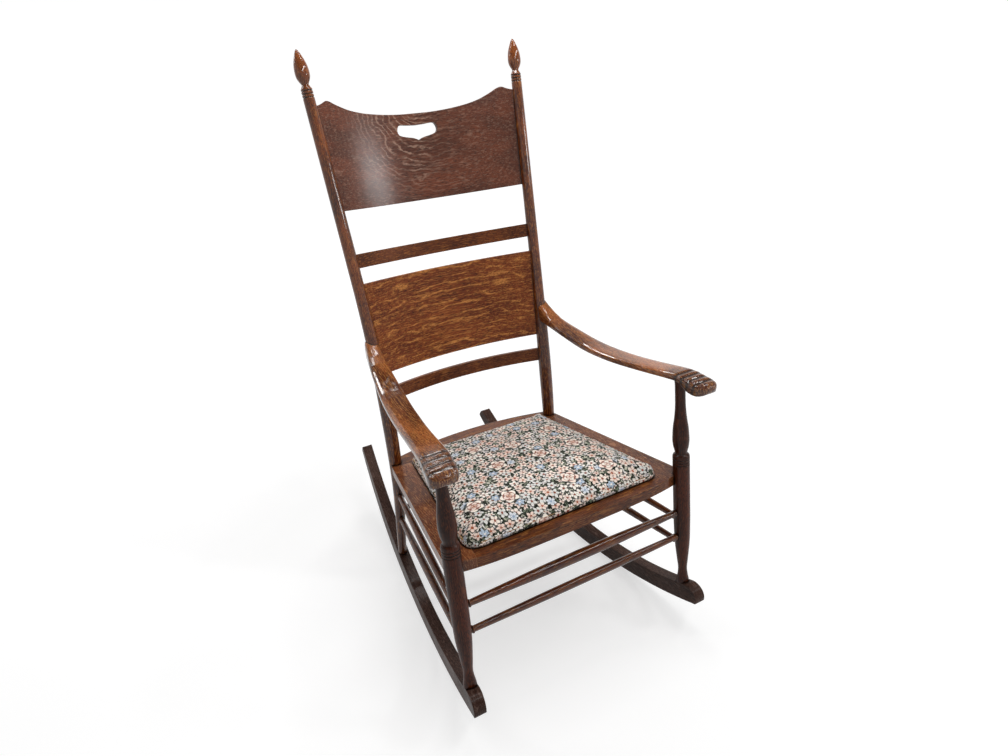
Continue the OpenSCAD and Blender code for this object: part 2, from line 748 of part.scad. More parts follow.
// How deep the nose is fluted, by the distance behind the arm's start
groove_end = groove_first + groove_count * groove_pitch;
function flute(y) = y < groove_first || y > groove_end ? 0
    : groove_deep * (1 - cos(360 * (y - groove_first) / groove_pitch)) / 2;

// Section of the arm: crowned above, nearly square below
function arm_ring(y) = let (
    share = y / arm_long, half = lookup(share, arm_plan),
    over = lookup(arm_start + y, arm_over), below = lookup(arm_start + y, arm_below))
    [for (j = [0:arm_sides - 1]) let (
        turn = -360 * j / arm_sides,
        square = sin(turn) > 0 ? arm_crown_share : arm_flat_share,
        side = sign(cos(turn)) * pow(abs(cos(turn)), square),
        rise = sign(sin(turn)) * pow(abs(sin(turn)), square))
        [arm_mid(share) + half * side, arm_start + y,
            (over + below + (over - below) * rise) / 2 - flute(y) * max(rise, 0) * (1 - pow(side, 4))]];
arm_stations = concat(
    [for (k = [1:tip_steps]) groove_first * pow(k / tip_steps, 2)],
    [for (k = [1:groove_count * groove_steps]) groove_first + groove_pitch * k / groove_steps],
    [for (k = [1:arm_steps]) groove_end + (arm_long - groove_end) * k / arm_steps]);

module arm_blank() {
    last = (len(arm_stations) - 1) * arm_sides;
    polyhedron(
        points = [for (y = arm_stations) for (p = arm_ring(y)) p],
        faces = concat([down(0, arm_sides)], bands(0, len(arm_stations), arm_sides), [up(last, arm_sides)]));
}

// The arm's side outline right across, which trims the post under it
module arm_seat() {
    translate([0, 0, -clearance])
        rotate([90, 0, 90])
            linear_extrude(2 * front_half)
                polygon(concat(arm_over, flipped(arm_below)));
}

module arm() {
    difference() {
        arm_blank();
        along(front_foot, front_way)
            cylinder(h = front_length + arm_tenon + clearance,
                r = front_top_dia / 2 - groove_cut + clearance);
        post_hollow();
    }
}

end_at = back_at(arm_height - arm_end_drop);
end_way = bend_way(bend_share(end_at[2]));
screw_at = back_at(arm_height - arm_screw_drop);

// Hollow in the arm's back end for the post, open toward the panel
module post_hollow() {
    wide = post_radius(end_at[2]) + 2 * clearance;
    along(end_at, end_way)
        translate([0, 0, -arm_height / 2])
            cylinder(h = arm_height, r = wide);
    translate(end_at)
        rotate([-atan(end_way[1] / end_way[2]), 0, 0])
            translate([-2 * wide, 0, -arm_height / 2])
                cube([2.5 * wide, 2 * wide, arm_height]);
}

module arm_screw() {
    translate(screw_at + [0, post_radius(screw_at[2]) - screw_sink, 0])
        rotate([90, 0, 0]) {
            cylinder(h = screw_head_tall, r = screw_head / 2);
            cylinder(h = arm_screw_long, r = screw_dia / 2);
        }
}

module arm_screw_bore() {
    translate(screw_at + [0, post_radius(screw_at[2]) + spare, 0])
        rotate([90, 0, 0]) {
            cylinder(h = spare + screw_sink + screw_head_tall + clearance, r = screw_head / 2 + clearance);
            cylinder(h = arm_screw_long, r = screw_dia / 2 + clearance);
        }
}

// Seat frame
module in_seat() {
    translate(seat_origin)
        rotate([-seat_slope, 0, 0])
            children();
}

front_curve = [for (k = [0:front_points])
    let (share = 2 * k / front_points - 1)
    [share * rail_outer(rail_front_v), rail_front_v - front_bow * (1 - pow(abs(share), front_power))]];

module frame_plate() {
    intersection() {
        translate([0, 0, -rail_thick])
            linear_extrude(rail_thick)
                polygon(concat(front_curve,
                    [[rail_outer(rail_back_v + back_bow), rail_back_v + back_bow],
                        [-rail_outer(rail_back_v + back_bow), rail_back_v + back_bow]]));
        translate([0, rail_back_v + back_bow - back_rail_radius, -rail_thick - overrun])
            cylinder(h = rail_thick + 2 * overrun, r = back_rail_radius, $fn = wide_sides);
    }
}

module post_notches() {
    for (side = [-1, 1])
        sided(side) {
            along(front_foot, front_way)
                cylinder(h = front_length - spare, r = front_dia / 2 + clearance);
            along(back_seat, bend_way(bend_share(back_seat[2])))
                translate([0, 0, -2 * rail_thick])
                    cylinder(h = 4 * rail_thick, r = post_radius(back_seat[2]) + 2 * clearance);
        }
}

// The part of the seat between the side rails' inner edges
module between_rails(front, back, gap) {
    translate([0, 0, -2 * rail_thick])
        linear_extrude(4 * rail_thick)
            polygon([[-rail_inner(front) + gap, front], [rail_inner(front) - gap, front],
                [rail_inner(back) - gap, back], [-rail_inner(back) + gap, back]]);
}

module front_tenon(gap) {
    for (side = [-1, 1])
        sided(side)
            translate([rail_inner(front_joint_v) - joint_long, front_joint_v - joint_wide - gap,
                -(rail_thick + joint_thick) / 2 - gap])
                cube([2 * joint_long + gap, joint_wide - joint_step + 2 * gap, joint_thick + 2 * gap]);
}

module back_tenon(gap) {
    translate([rail_inner(back_joint_v) + joint_long, back_joint_v - joint_long,
        -(rail_thick + joint_thick) / 2 - gap])
        cube([joint_wide + gap, 2 * joint_long + gap, joint_thick + 2 * gap]);
}

module front_rail() {
    difference() {
        in_seat() {
            intersection() {
                frame_plate();
                between_rails(0, front_joint_v, 0);
            }
            front_tenon(0);
        }
        post_notches();
    }
}

module side_rail() {
    difference() {
        in_seat() {
            difference() {
                union() {
                    intersection() {
                        frame_plate();
                        translate([0, 0, -2 * rail_thick])
                            cube([frame_wide, back_joint_v, 4 * rail_thick]);
                    }
                    back_tenon(0);
                }
                between_rails(0, back_joint_v + joint_wide, 0);
                front_tenon(clearance);
            }
        }
        post_notches();
        seat_screw_bores();
    }
}

module back_rail() {
    difference() {
        in_seat()
            difference() {
                intersection() {
                    frame_plate();
                    translate([-frame_wide / 2, back_joint_v, -2 * rail_thick])
                        cube([frame_wide, frame_wide, 4 * rail_thick]);
                }
                for (side = [-1, 1])
                    sided(side)
                        back_tenon(clearance);
            }
        post_notches();
    }
}

// Screws from below through the side rails into the pad's board
module seat_screw_at(share) {
    v = front_joint_v + (back_joint_v - front_joint_v) * share;
    translate([rail_inner(v) + seat_screw_in, v, 0])
        children();
}

module seat_screws() {
    in_seat()
        for (side = [-1, 1])
            sided(side)
                for (share = screw_shares)
                    seat_screw_at(share) {
                        translate([0, 0, -rail_thick])
                            cylinder(h = seat_screw_dia / 2, r = seat_screw_dia);
                        translate([0, 0, -rail_thick])
                            cylinder(h = rail_thick + board_thick, r = seat_screw_dia / 2);
                    }
}

module seat_screw_bores() {
    in_seat()
        for (share = screw_shares)
            seat_screw_at(share) {
                translate([0, 0, -rail_thick - overrun])
                    cylinder(h = overrun + seat_screw_dia / 2 + clearance, r = seat_screw_dia + clearance);
                translate([0, 0, -rail_thick - overrun])
                    cylinder(h = rail_thick + 2 * overrun, r = seat_screw_dia / 2 + clearance);
            }
}

// Seat pad: rings of points from the rounded outline
pad_front_v = front_v + pad_front_gap;
pad_back_v = back_v - pad_back_gap;
pad_centre = [0, (pad_front_v + pad_back_v) / 2];
function pad_corner(v, round) = [rail_outer(v) - pad_side_gap - round / cos(rail_turn), v];
pad_front_corner = pad_corner(pad_front_v + pad_front_round, pad_front_round);
pad_back_corner = pad_corner(pad_back_v - pad_back_round, pad_back_round);
function pad_arc(corner, radius, first, last) =
    [for (k = [0:pad_arc_points])
        let (a = first + (last - first) * k / pad_arc_points)
        corner + radius * [cos(a), sin(a)]];
function pad_half(inset) = let (
    front_arc = pad_arc(pad_front_corner, pad_front_round - inset, -90, rail_turn),
    back_arc = pad_arc(pad_back_corner, pad_back_round - inset, rail_turn, 90))
    concat(
        [for (k = [0:pad_edge_points - 1]) [front_arc[0][0] * k / pad_edge_points, front_arc[0][1]]],
        front_arc,
        [for (k = [1:pad_edge_points])
            front_arc[pad_arc_points]
            + (back_arc[0] - front_arc[pad_arc_points]) * k / (pad_edge_points + 1)],
        back_arc,
        [for (k = [pad_edge_points - 1:-1:0])
            [back_arc[pad_arc_points][0] * k / pad_edge_points, back_arc[pad_arc_points][1]]]);
function pad_outline(inset) =
    let (half = pad_half(inset))
    concat(half, [for (q = flipped(half)) if (q[0] > 0) [-q[0], q[1]]]);
function pad_ring(share, inset, w) =
    [for (q = pad_outline(inset)) let (p = pad_centre + (q - pad_centre) * share) [p[0], p[1], w]];
pad_count = len(pad_outline(0));
pad_shoulder = pad_side_shares[len(pad_side_shares) - 1];
turn_share = 1 - cover_turn / pad_front_corner[0];

// One skin of the pad, drawn in by a thickness all round
function pad_sides(thick) = [for (q = pad_side_shares)
    for (p = pad_ring(1, pad_roll * q[0] + thick * q[2], pad_edge_height * q[1] - thick * q[3])) p];
function pad_dome(thick) = [for (share = pad_dome_shares)
    let (low = pad_edge_height * pad_shoulder[1])
    for (p = pad_ring(share, pad_roll + thick * pad_shoulder[2],
        low + (pad_crown - low) * (1 - share * share) - thick)) p];
function pad_skin(thick) = concat(
    pad_ring(turn_share, pad_roll * pad_side_shares[0][0] + thick, thick),
    pad_sides(thick), pad_dome(thick));
function pad_pole(thick) = [0, pad_centre[1], pad_crown - thick];
skin_rings = 1 + len(pad_side_shares) + len(pad_dome_shares);

module seat_cover() {
    inner = skin_rings * pad_count;
    poles = 2 * inner;
    in_seat()
        polyhedron(
            points = concat(pad_skin(0), pad_skin(cover_thick), [pad_pole(0), pad_pole(cover_thick)]),
            faces = concat(
                bands(0, skin_rings, pad_count),
                top_fan(inner - pad_count, pad_count, poles),
                [for (f = bands(inner, skin_rings, pad_count)) flipped(f)],
                low_fan(poles - pad_count, pad_count, poles + 1),
                band(inner, 0, pad_count)));
}

fill_gap = cover_thick + clearance;
board_top = cover_thick + board_thick;

module seat_board() {
    in_seat()
        translate([0, 0, cover_thick])
            linear_extrude(board_thick)
                polygon(pad_outline(pad_roll * pad_side_shares[0][0] + fill_gap));
}

module seat_padding() {
    upper = [for (q = pad_side_shares) if (pad_edge_height * q[1] > board_top) q];
    rings = 1 + len(upper) + len(pad_dome_shares);
    in_seat()
        polyhedron(
            points = concat(
                pad_ring(1, fill_gap, board_top),
                [for (q = upper) for (p = pad_ring(1, pad_roll * q[0] + fill_gap * q[2],
                    pad_edge_height * q[1] - fill_gap * q[3])) p],
                pad_dome(fill_gap),
                [[0, pad_centre[1], board_top], pad_pole(fill_gap)]),
            faces = concat(
                low_fan(0, pad_count, rings * pad_count),
                bands(0, rings, pad_count),
                top_fan((rings - 1) * pad_count, pad_count, rings * pad_count + 1)));
}

// Tacks that hold the cover under the board: rows between the rounded corners
tack_line = pad_ring(turn_share + (1 - turn_share) * tack_share, pad_roll * pad_side_shares[0][0], 0);
tack_corners = [0, pad_edge_points, pad_edge_points + pad_arc_points,
    2 * pad_edge_points + pad_arc_points + 1, 2 * pad_edge_points + 2 * pad_arc_points + 1,
    3 * pad_edge_points + 2 * pad_arc_points + 1];

module tack(place) {
    translate([place[0], place[1], -tack_head_tall]) {
        cylinder(h = tack_head_tall, r = tack_head_dia / 2);
        cylinder(h = tack_pin_long, r = tack_pin_dia / 2);
    }
}

module cover_tacks() {
    in_seat()
        for (side = [-1, 1])
            sided(side)
                for (row = [0:2], k = [1:tack_counts[row]])
                    tack(tack_line[tack_corners[2 * row]]
                        + (tack_line[tack_corners[2 * row + 1]] - tack_line[tack_corners[2 * row]])
                            * (2 * k - 1) / (2 * tack_counts[row]));
}

// Nodes: one module for each piece, at rest
module rocker_left_node() {
    color(dark_oak)
        at_rest()
            rocker();
}

module rocker_right_node() {
    color(dark_oak)
        at_rest()
            sided(-1)
                rocker();
}

module front_post_left_node() {
    color(oak)
        at_rest()
            front_post();
}

module front_post_right_node() {
    color(oak)
        at_rest()
            sided(-1)
                front_post();
}

module back_post_left_node() {
    color(oak)
        at_rest()
            back_post();
}

module back_post_right_node() {
    color(oak)
        at_rest()
            sided(-1)
                back_post();
}

module arm_left_node() {
    color(oak)
        at_rest()
            arm();
}

module arm_right_node() {
    color(oak)
        at_rest()
            sided(-1)
                arm();
}

module side_rail_left_node() {
    color(oak)
        at_rest()
            side_rail();
}

module side_rail_right_node() {
    color(oak)
        at_rest()
            sided(-1)
                side_rail();
}

module crest_panel_node() {
    color(oak)
        at_rest()
            crest();
}

module upper_slat_node() {
    color(oak)
        at_rest()
            slat(upper_slat_mid, slat_tall * cos(atan(high_way[1])));
}

module back_panel_node() {
    color(oak)
        at_rest()
            slat(panel_mid, panel_tall * cos(atan(high_way[1])));
}

module lower_slat_node() {
    color(oak)
        at_rest()
            slat(lower_slat_mid, slat_tall * cos(atan(high_way[1])));
}

module front_rail_node() {
    color(oak)
        at_rest()
            front_rail();
}

module back_rail_node() {
    color(oak)
        at_rest()
            back_rail();
}

module seat_board_node() {
    color(oak)
        at_rest()
            seat_board();
}

module seat_padding_node() {
    color(cloth)
        at_rest()
            seat_padding();
}

module seat_cover_node() {
    color(cloth)
        at_rest()
            seat_cover();
}

module cover_tacks_node() {
    color(steel)
        at_rest()
            cover_tacks();
}

module seat_screws_node() {
    color(steel)
        at_rest()
            seat_screws();
}

module front_stretcher_upper_node() {
    color(oak)
        at_rest()
            stretcher(front_at(front_upper_height), other_side(front_at(front_upper_height)),
                front_upper_dia, [front_stop, front_stop]);
}

module front_stretcher_lower_node() {
    color(oak)
        at_rest()
            stretcher(front_at(front_lower_height), other_side(front_at(front_lower_height)),
                front_lower_dia, [front_stop, front_stop]);
}

module side_stretcher_upper_left_node() {
    color(oak)
        at_rest()
            stretcher(side_upper_ends[0], side_upper_ends[1], side_dia, [front_stop, back_stop]);
}

module side_stretcher_upper_right_node() {
    color(oak)
        at_rest()
            sided(-1)
                stretcher(side_upper_ends[0], side_upper_ends[1], side_dia, [front_stop, back_stop]);
}

module side_stretcher_lower_left_node() {
    color(oak)
        at_rest()
            stretcher(side_lower_ends[0], side_lower_ends[1], side_dia, [front_stop, back_stop]);
}

module side_stretcher_lower_right_node() {
    color(oak)
        at_rest()
            sided(-1)
                stretcher(side_lower_ends[0], side_lower_ends[1], side_dia, [front_stop, back_stop]);
}

module back_stretcher_node() {
    color(oak)
        at_rest()
            stretcher(back_at(back_height), other_side(back_at(back_height)), side_dia,
                [back_stop, back_stop]);
}

module arm_screws_node() {
    color(steel)
        at_rest()
            for (side = [-1, 1])
                sided(side)
                    arm_screw();
}

module foot_screws_node() {
    color(steel)
        at_rest()
            for (side = [-1, 1])
                sided(side) {
                    foot_screw(front_foot, front_way);
                    foot_screw(back_foot, low_way);
                }
}

rocker_left_node();  // rocker_left
rocker_right_node();  // rocker_right
front_post_left_node();  // front_post_left
front_post_right_node();  // front_post_right
back_post_left_node();  // back_post_left
back_post_right_node();  // back_post_right
crest_panel_node();  // crest_panel
upper_slat_node();  // upper_slat
back_panel_node();  // back_panel
lower_slat_node();  // lower_slat
arm_left_node();  // arm_left
arm_right_node();  // arm_right
front_rail_node();  // front_rail
back_rail_node();  // back_rail
side_rail_left_node();  // side_rail_left
side_rail_right_node();  // side_rail_right
seat_board_node();  // seat_board
seat_padding_node();  // seat_padding
seat_cover_node();  // seat_cover
cover_tacks_node();  // cover_tacks
seat_screws_node();  // seat_screws
front_stretcher_upper_node();  // front_stretcher_upper
front_stretcher_lower_node();  // front_stretcher_lower
side_stretcher_upper_left_node();  // side_stretcher_upper_left
side_stretcher_upper_right_node();  // side_stretcher_upper_right
side_stretcher_lower_left_node();  // side_stretcher_lower_left
side_stretcher_lower_right_node();  // side_stretcher_lower_right
back_stretcher_node();  // back_stretcher
arm_screws_node();  // arm_screws
foot_screws_node();  // foot_screws
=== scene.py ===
# %% [markdown]
# Bow rocking chair in dark stained oak, with a tapestry pad.
# The solids come from the part itself and are already in their places, in metres, with the floor
# at zero and the chair facing -Y. Blender adds what a solid can't tell: the stain and figure of the
# oak, the varnish, the woven flowers of the pad, the light and the camera.

# %% Load the chair's solids
import math

import bmesh
import bpy
import numpy as np
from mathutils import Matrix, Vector


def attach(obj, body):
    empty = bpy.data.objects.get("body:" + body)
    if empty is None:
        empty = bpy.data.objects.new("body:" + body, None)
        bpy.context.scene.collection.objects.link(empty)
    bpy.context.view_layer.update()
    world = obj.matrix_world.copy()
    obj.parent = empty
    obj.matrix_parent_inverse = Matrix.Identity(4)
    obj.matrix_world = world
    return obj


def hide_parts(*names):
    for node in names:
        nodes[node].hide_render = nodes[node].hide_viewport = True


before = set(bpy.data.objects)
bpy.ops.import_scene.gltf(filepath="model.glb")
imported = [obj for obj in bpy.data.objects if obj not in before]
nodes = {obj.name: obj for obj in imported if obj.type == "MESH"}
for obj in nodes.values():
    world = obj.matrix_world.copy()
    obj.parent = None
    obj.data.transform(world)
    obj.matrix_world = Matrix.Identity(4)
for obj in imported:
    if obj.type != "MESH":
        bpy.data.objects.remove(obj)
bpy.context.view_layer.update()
mm = 0.001
X, Y, Z = 0, 1, 2

# %% [markdown]
# The camera stands in front of the chair and to its right, a little above the crest, and looks
# down at thirty degrees with a wide lens. Its place was worked out from pairs of points that the
# chair has on both sides, so a render lies over the photograph. A target would be simpler to read,
# but three angles repeat it more exactly.

# %% Camera
camera_at = (-0.6416, -1.1422, 1.2732)
looking_down = math.radians(30)
turned = math.radians(-29.91)

lens = bpy.data.cameras.new("camera")
lens.sensor_width = 36
lens.lens = 25.21
camera = bpy.data.objects.new("camera", lens)
camera.location = camera_at
camera.rotation_euler = (math.pi / 2 - looking_down, 0, turned)
bpy.context.scene.collection.objects.link(camera)
bpy.context.scene.camera = camera
bpy.context.scene.view_settings.view_transform = "Standard"
print("camera at", camera_at, "lens", lens.lens, "mm")

# %% [markdown]
# Colours are picked as they look on a screen, but a shader counts in amounts of light. One
# function turns the first into the second, so every finish can name its colours in hex.

# %% Colours
def tone(hex_value):
    shares = [int(hex_value[i:i + 2], 16) / 255 for i in (1, 3, 5)]
    return [s / 12.92 if s <= 0.04045 else ((s + 0.055) / 1.055) ** 2.4 for s in shares] + [1]


print("half grey on a screen is this much light:", round(tone("#808080")[0], 3))

# %% [markdown]
# A finish is a tree of nodes. One function adds a node with its settings and its links, and so each
# finish below reads as a short list of what it is made of.

# %% Nodes
def add(tree, kind, settings=None, links=None):
    node = tree.nodes.new("ShaderNode" + kind)
    for key, value in (settings or {}).items():
        if isinstance(key, int) or key in node.inputs:
            node.inputs[key].default_value = value
        else:
            setattr(node, key, value)
    for key, source in (links or {}).items():
        tree.links.new(source, node.inputs[key])
    return node


def finish_sheet(name):
    """A new material with an empty tree, its output and its shader."""
    sheet = bpy.data.materials.new(name)
    sheet.use_nodes = True
    sheet.node_tree.nodes.clear()
    shader = add(sheet.node_tree, "BsdfPrincipled")
    add(sheet.node_tree, "OutputMaterial", links={"Surface": shader.outputs[0]})
    return sheet, sheet.node_tree, shader


# %% [markdown]
# Arithmetic on patterns comes up all the time. sum_of joins values and plain numbers with a named
# operation, ranged stretches one range of a pattern over another with soft ends, and mixed lays
# one colour over another, so a formula stays one line long.

# %% Sums on patterns
def sum_of(tree, operation, *values):
    node = add(tree, "Math", {"operation": operation})
    for i, value in enumerate(values):
        if isinstance(value, bpy.types.NodeSocket):
            tree.links.new(value, node.inputs[i])
        else:
            node.inputs[i].default_value = value
    return node.outputs[0]


def ranged(tree, value, low, high, to_low=0.0, to_high=1.0):
    settings = {"From Min": low, "From Max": high, "To Min": to_low, "To Max": to_high,
                "interpolation_type": "SMOOTHSTEP"}
    return add(tree, "MapRange", settings, {"Value": value}).outputs[0]


def mixed(tree, share, first, second):
    node = add(tree, "Mix", {"data_type": "RGBA"})
    for i, value in ((0, share), (6, first), (7, second)):
        if isinstance(value, bpy.types.NodeSocket):
            tree.links.new(value, node.inputs[i])
        else:
            node.inputs[i].default_value = value
    return node.outputs[2]


# %% [markdown]
# The frame is quarter-sawn white oak, stained dark and varnished. Quarter-sawing shows three
# things: fine rings a few millimetres apart, open pores as thin dark dashes along the grain, and
# ray figure, pale wavy flakes that cross the face. Each comes from a pattern stretched along the
# grain, in real millimetres. A picture of wood would be quicker, but it repeats, and it smears
# round turned pieces.

# %% Patterns along the grain
def noise(tree, place, stretch, settings):
    spread = add(tree, "VectorMath", {"operation": "MULTIPLY", 1: stretch}, {0: place})
    node = add(tree, "TexNoise", {"Scale": 1.0, **settings}, {"Vector": spread.outputs[0]})
    return node.outputs["Fac"]


def along_grain(axis, length, width):
    """Scale of a pattern that is this long along the grain and this wide across it."""
    return [1 / length if i == axis else 1 / width for i in range(3)]


print("a ring of 3.2 mm repeats", round(along_grain(X, 1, 3.2 * mm)[Z]), "times in a metre")

# %% [markdown]
# Rays are sheets of cells that run out from the heart of the tree. Where the saw meets them nearly
# flat, they show as pale flakes, 1 to 2 mm high on narrow pieces and longer and broader on a wide
# board. A row of lines that a noise bends gives their wavy shape, and a second noise breaks the
# lines into flakes.

# %% Ray figure
ray_flake = (26 * mm, 3.4 * mm)
broad_flake = (85 * mm, 8 * mm)
print("flakes up to", round(ray_flake[0] / mm), "mm long, broad ones", round(broad_flake[0] / mm))


def ray_lines(tree, place, axis, up, pitch, thick, flake=ray_flake):
    """Thin wavy lines along the grain, broken into short flakes. pitch is their spacing."""
    height = add(tree, "SeparateXYZ", links={0: place}).outputs[up]
    waver = noise(tree, place, along_grain(axis, flake[0], 2.6 * flake[1]), {"Detail": 3.0})
    turns = sum_of(tree, "MULTIPLY_ADD", height, 1 / pitch, sum_of(tree, "MULTIPLY", waver, 2.4))
    line = ranged(tree, sum_of(tree, "PINGPONG", turns, 0.5), 0.5 - thick / pitch, 0.48)
    broken = noise(tree, place, along_grain(axis, *flake), {"Detail": 2.0})
    return sum_of(tree, "MULTIPLY", line, ranged(tree, broken, 0.42, 0.58))


def bold_lines(tree, place, axis, up, pitch, thick):
    """The same, and among them a few long and broad flakes, as a wide board shows them."""
    short = ray_lines(tree, place, axis, up, pitch, thick)
    long = ray_lines(tree, place, axis, up, 3.4 * pitch, 3 * thick, broad_flake)
    return sum_of(tree, "MAXIMUM", sum_of(tree, "MULTIPLY", short, 0.6), long)


# %% [markdown]
# On the crest the board was cut near a knot, and its figure swirls: pale lines come down beside
# the hand-hold, turn, and run out level below it. The distance from a point by the hold gives
# that, if only height counts to its right, seen from the front. The lines fade with the distance.
# Their grey-pale colour is partly a painted sheen on the flakes.

# %% Swirl of the crest
swirl_at = (0 * mm, 1008 * mm)
swirl_fade = (70 * mm, 190 * mm)
swirl_right = 60 * mm
faint = 0.12
print("the swirl is faint", round(swirl_fade[1] / mm), "mm from its middle")


# pale swirl lines: ray figure, with a painted sheen in their grey-pale colour
def swirl_lines_with_sheen(tree, place, axis, up, pitch, thick):
    axes = add(tree, "SeparateXYZ", links={0: place}).outputs
    side = sum_of(tree, "SUBTRACT", axes[X], swirl_at[0])
    level = sum_of(tree, "MINIMUM", side, 0.0)
    drop = sum_of(tree, "SUBTRACT", axes[up], swirl_at[1])
    squares = sum_of(tree, "MULTIPLY_ADD", level, level, sum_of(tree, "MULTIPLY", drop, drop))
    away = sum_of(tree, "SQRT", squares)
    waver = noise(tree, place, along_grain(axis, 70 * mm, 50 * mm),
                  {"Detail": 4.0, "Roughness": 0.55})
    turns = sum_of(tree, "MULTIPLY_ADD", away, 1 / pitch, sum_of(tree, "MULTIPLY", waver, 4.5))
    line = ranged(tree, sum_of(tree, "PINGPONG", turns, 0.5), 0.5 - thick / pitch, 0.49)
    broken = noise(tree, place, along_grain(axis, 36 * mm, 30 * mm), {"Detail": 3.0})
    line = sum_of(tree, "MULTIPLY", line, ranged(tree, broken, 0.38, 0.56, 0.15, 1.0))
    near = ranged(tree, away, swirl_fade[1], swirl_fade[0], faint, 1.0)
    line = sum_of(tree, "MULTIPLY", line, near)
    return sum_of(tree, "MULTIPLY", line, ranged(tree, side, swirl_right, 0.0, faint, 1.0))


# %% [markdown]
# Turned grooves and carved flutes are made near-black at their bottoms: the darkest stain, and
# painted shade. A row of cuts is found by the distance along the piece, and the same row serves
# both sides of the chair, because it is measured with the sideways distance taken as positive.

# %% Rows of cuts
def cut_rows(tree, place, way, first, pitch, count, wide):
    """One in each of a row of cuts that lie across way, and zero between them."""
    size = math.sqrt(sum(w * w for w in way))
    level = (0, way[Y] / size, way[Z] / size)
    far = add(tree, "VectorMath", {"operation": "ABSOLUTE"}, {0: place}).outputs[0]
    side = add(tree, "SeparateXYZ", links={0: far}).outputs["X"]
    rest = add(tree, "VectorMath", {"operation": "DOT_PRODUCT", 1: level}, {0: place})
    reach = sum_of(tree, "MULTIPLY_ADD", side, way[X] / size, rest.outputs["Value"])
    step = sum_of(tree, "MULTIPLY_ADD", reach, 1 / pitch, 0.5 - first / pitch)
    inside = sum_of(tree, "MULTIPLY", sum_of(tree, "GREATER_THAN", step, 0.0),
                    sum_of(tree, "LESS_THAN", step, float(count)))
    off = sum_of(tree, "ABSOLUTE", sum_of(tree, "SUBTRACT", sum_of(tree, "FRACT", step), 0.5))
    cut = ranged(tree, off, wide / pitch * 0.65, wide / pitch * 0.2)
    return sum_of(tree, "MULTIPLY", cut, inside)


# %% [markdown]
# Stain soaks into a board unevenly. So the ground colour is a slow change between a dark and a
# middle tone, with darker rings and thin pale streaks on it. Some pieces get darker toward one
# end: the arms toward the nose, and the back posts downward, where the darkening is painted shade
# under the arms.

# %% Stain, rings and streaks
def stain(tree, place, axis, up, tones, ring, darker_end):
    """Colour of the stained board. darker_end is a direction and the two places on it between which
    the colour gets darker: on the back posts this is painted shade under the arms."""
    dark, middle, pale = tones
    axes = add(tree, "SeparateXYZ", links={0: place}).outputs
    broad = noise(tree, place, along_grain(axis, 150 * mm, 40 * mm), {"Detail": 3.0})
    colour = mixed(tree, ranged(tree, broad, 0.34, 0.66), dark, middle)
    # darker toward one end: the arms toward the nose, and on the back posts painted shade under the
    # arms
    if darker_end:
        way, first, last = darker_end
        colour = mixed(tree, ranged(tree, axes[way], first, last, 0.0, 0.85), colour, dark)
    waver = noise(tree, place, along_grain(axis, 90 * mm, 12 * mm), {"Detail": 3.0})
    turns = sum_of(tree, "MULTIPLY_ADD", axes[up], 1 / ring, sum_of(tree, "MULTIPLY", waver, 3.0))
    rings = ranged(tree, sum_of(tree, "PINGPONG", turns, 0.5), 0.05, 0.45)
    colour = mixed(tree, sum_of(tree, "MULTIPLY", rings, 0.35), colour, dark)
    streaks = noise(tree, place, along_grain(axis, 60 * mm, 2.4 * mm), {"Detail": 2.0})
    return mixed(tree, ranged(tree, streaks, 0.5, 0.7, 0.0, 0.25), colour, pale)


# %% [markdown]
# Oak has open pores, which the stain fills nearly black, and an old finish has fine dark checks
# that run with the grain. Real pores are 0.3 mm wide. They are drawn 1.3 mm wide, because nothing
# finer shows in a picture of the whole chair.

# %% Pores and checks
pore = (10 * mm, 1.3 * mm)
check_flake = (17 * mm, 3 * mm)
check_rows = (9 * mm, 1.5 * mm)
stain_in_pores = tone("#1a0903")
stain_in_checks = tone("#210d05")


def open_pores(tree, place, axis):
    return ranged(tree, noise(tree, place, along_grain(axis, *pore), {"Detail": 3.0}), 0.51, 0.63)


def darken_cracks(tree, place, axis, up, colour, pores, checks):
    colour = mixed(tree, sum_of(tree, "MULTIPLY", pores, 0.7), colour, stain_in_pores)
    checked = ray_lines(tree, place, axis, up, *check_rows, check_flake)
    return mixed(tree, sum_of(tree, "MULTIPLY", checked, checks), colour, stain_in_checks)


print("pores", round(pore[1] / mm, 1), "mm wide")

# %% [markdown]
# Worn patches let the pale wood through. Grooves and the places where two pieces meet are darkened
# with painted shade, which stands for grime there as well, and the edges are made paler, partly as
# wear and partly as a painted highlight. Ambient Occlusion finds the corners, over a long and a
# short distance. The Bevel node's rounded normal differs from the true one only near an edge, and
# so finds the edges.

# %% Wear, grime, painted shade and painted edge highlights
corner_reach = 14 * mm
groove_reach = 4 * mm
edge_reach = 2 * mm
# cosines of the angles between the two normals where an edge begins, 8 degrees, and is full, 37
edge_turn = (0.99, 0.8)
# near-black laid into turned grooves and flutes: dark stain, and painted shade at their bottoms
stain_and_shade_in_cuts = tone("#120603")
# near-black for corners and grooves found by Ambient Occlusion: painted shade, and grime as well
grime_and_shade_in_corners = tone("#120805")
grime_and_shade_in_grooves = tone("#0c0503")
# how far the painted shade, with grime, reaches out of corners and grooves
print("dirt reaches", round(corner_reach / mm), "mm and", round(groove_reach / mm), "mm out")


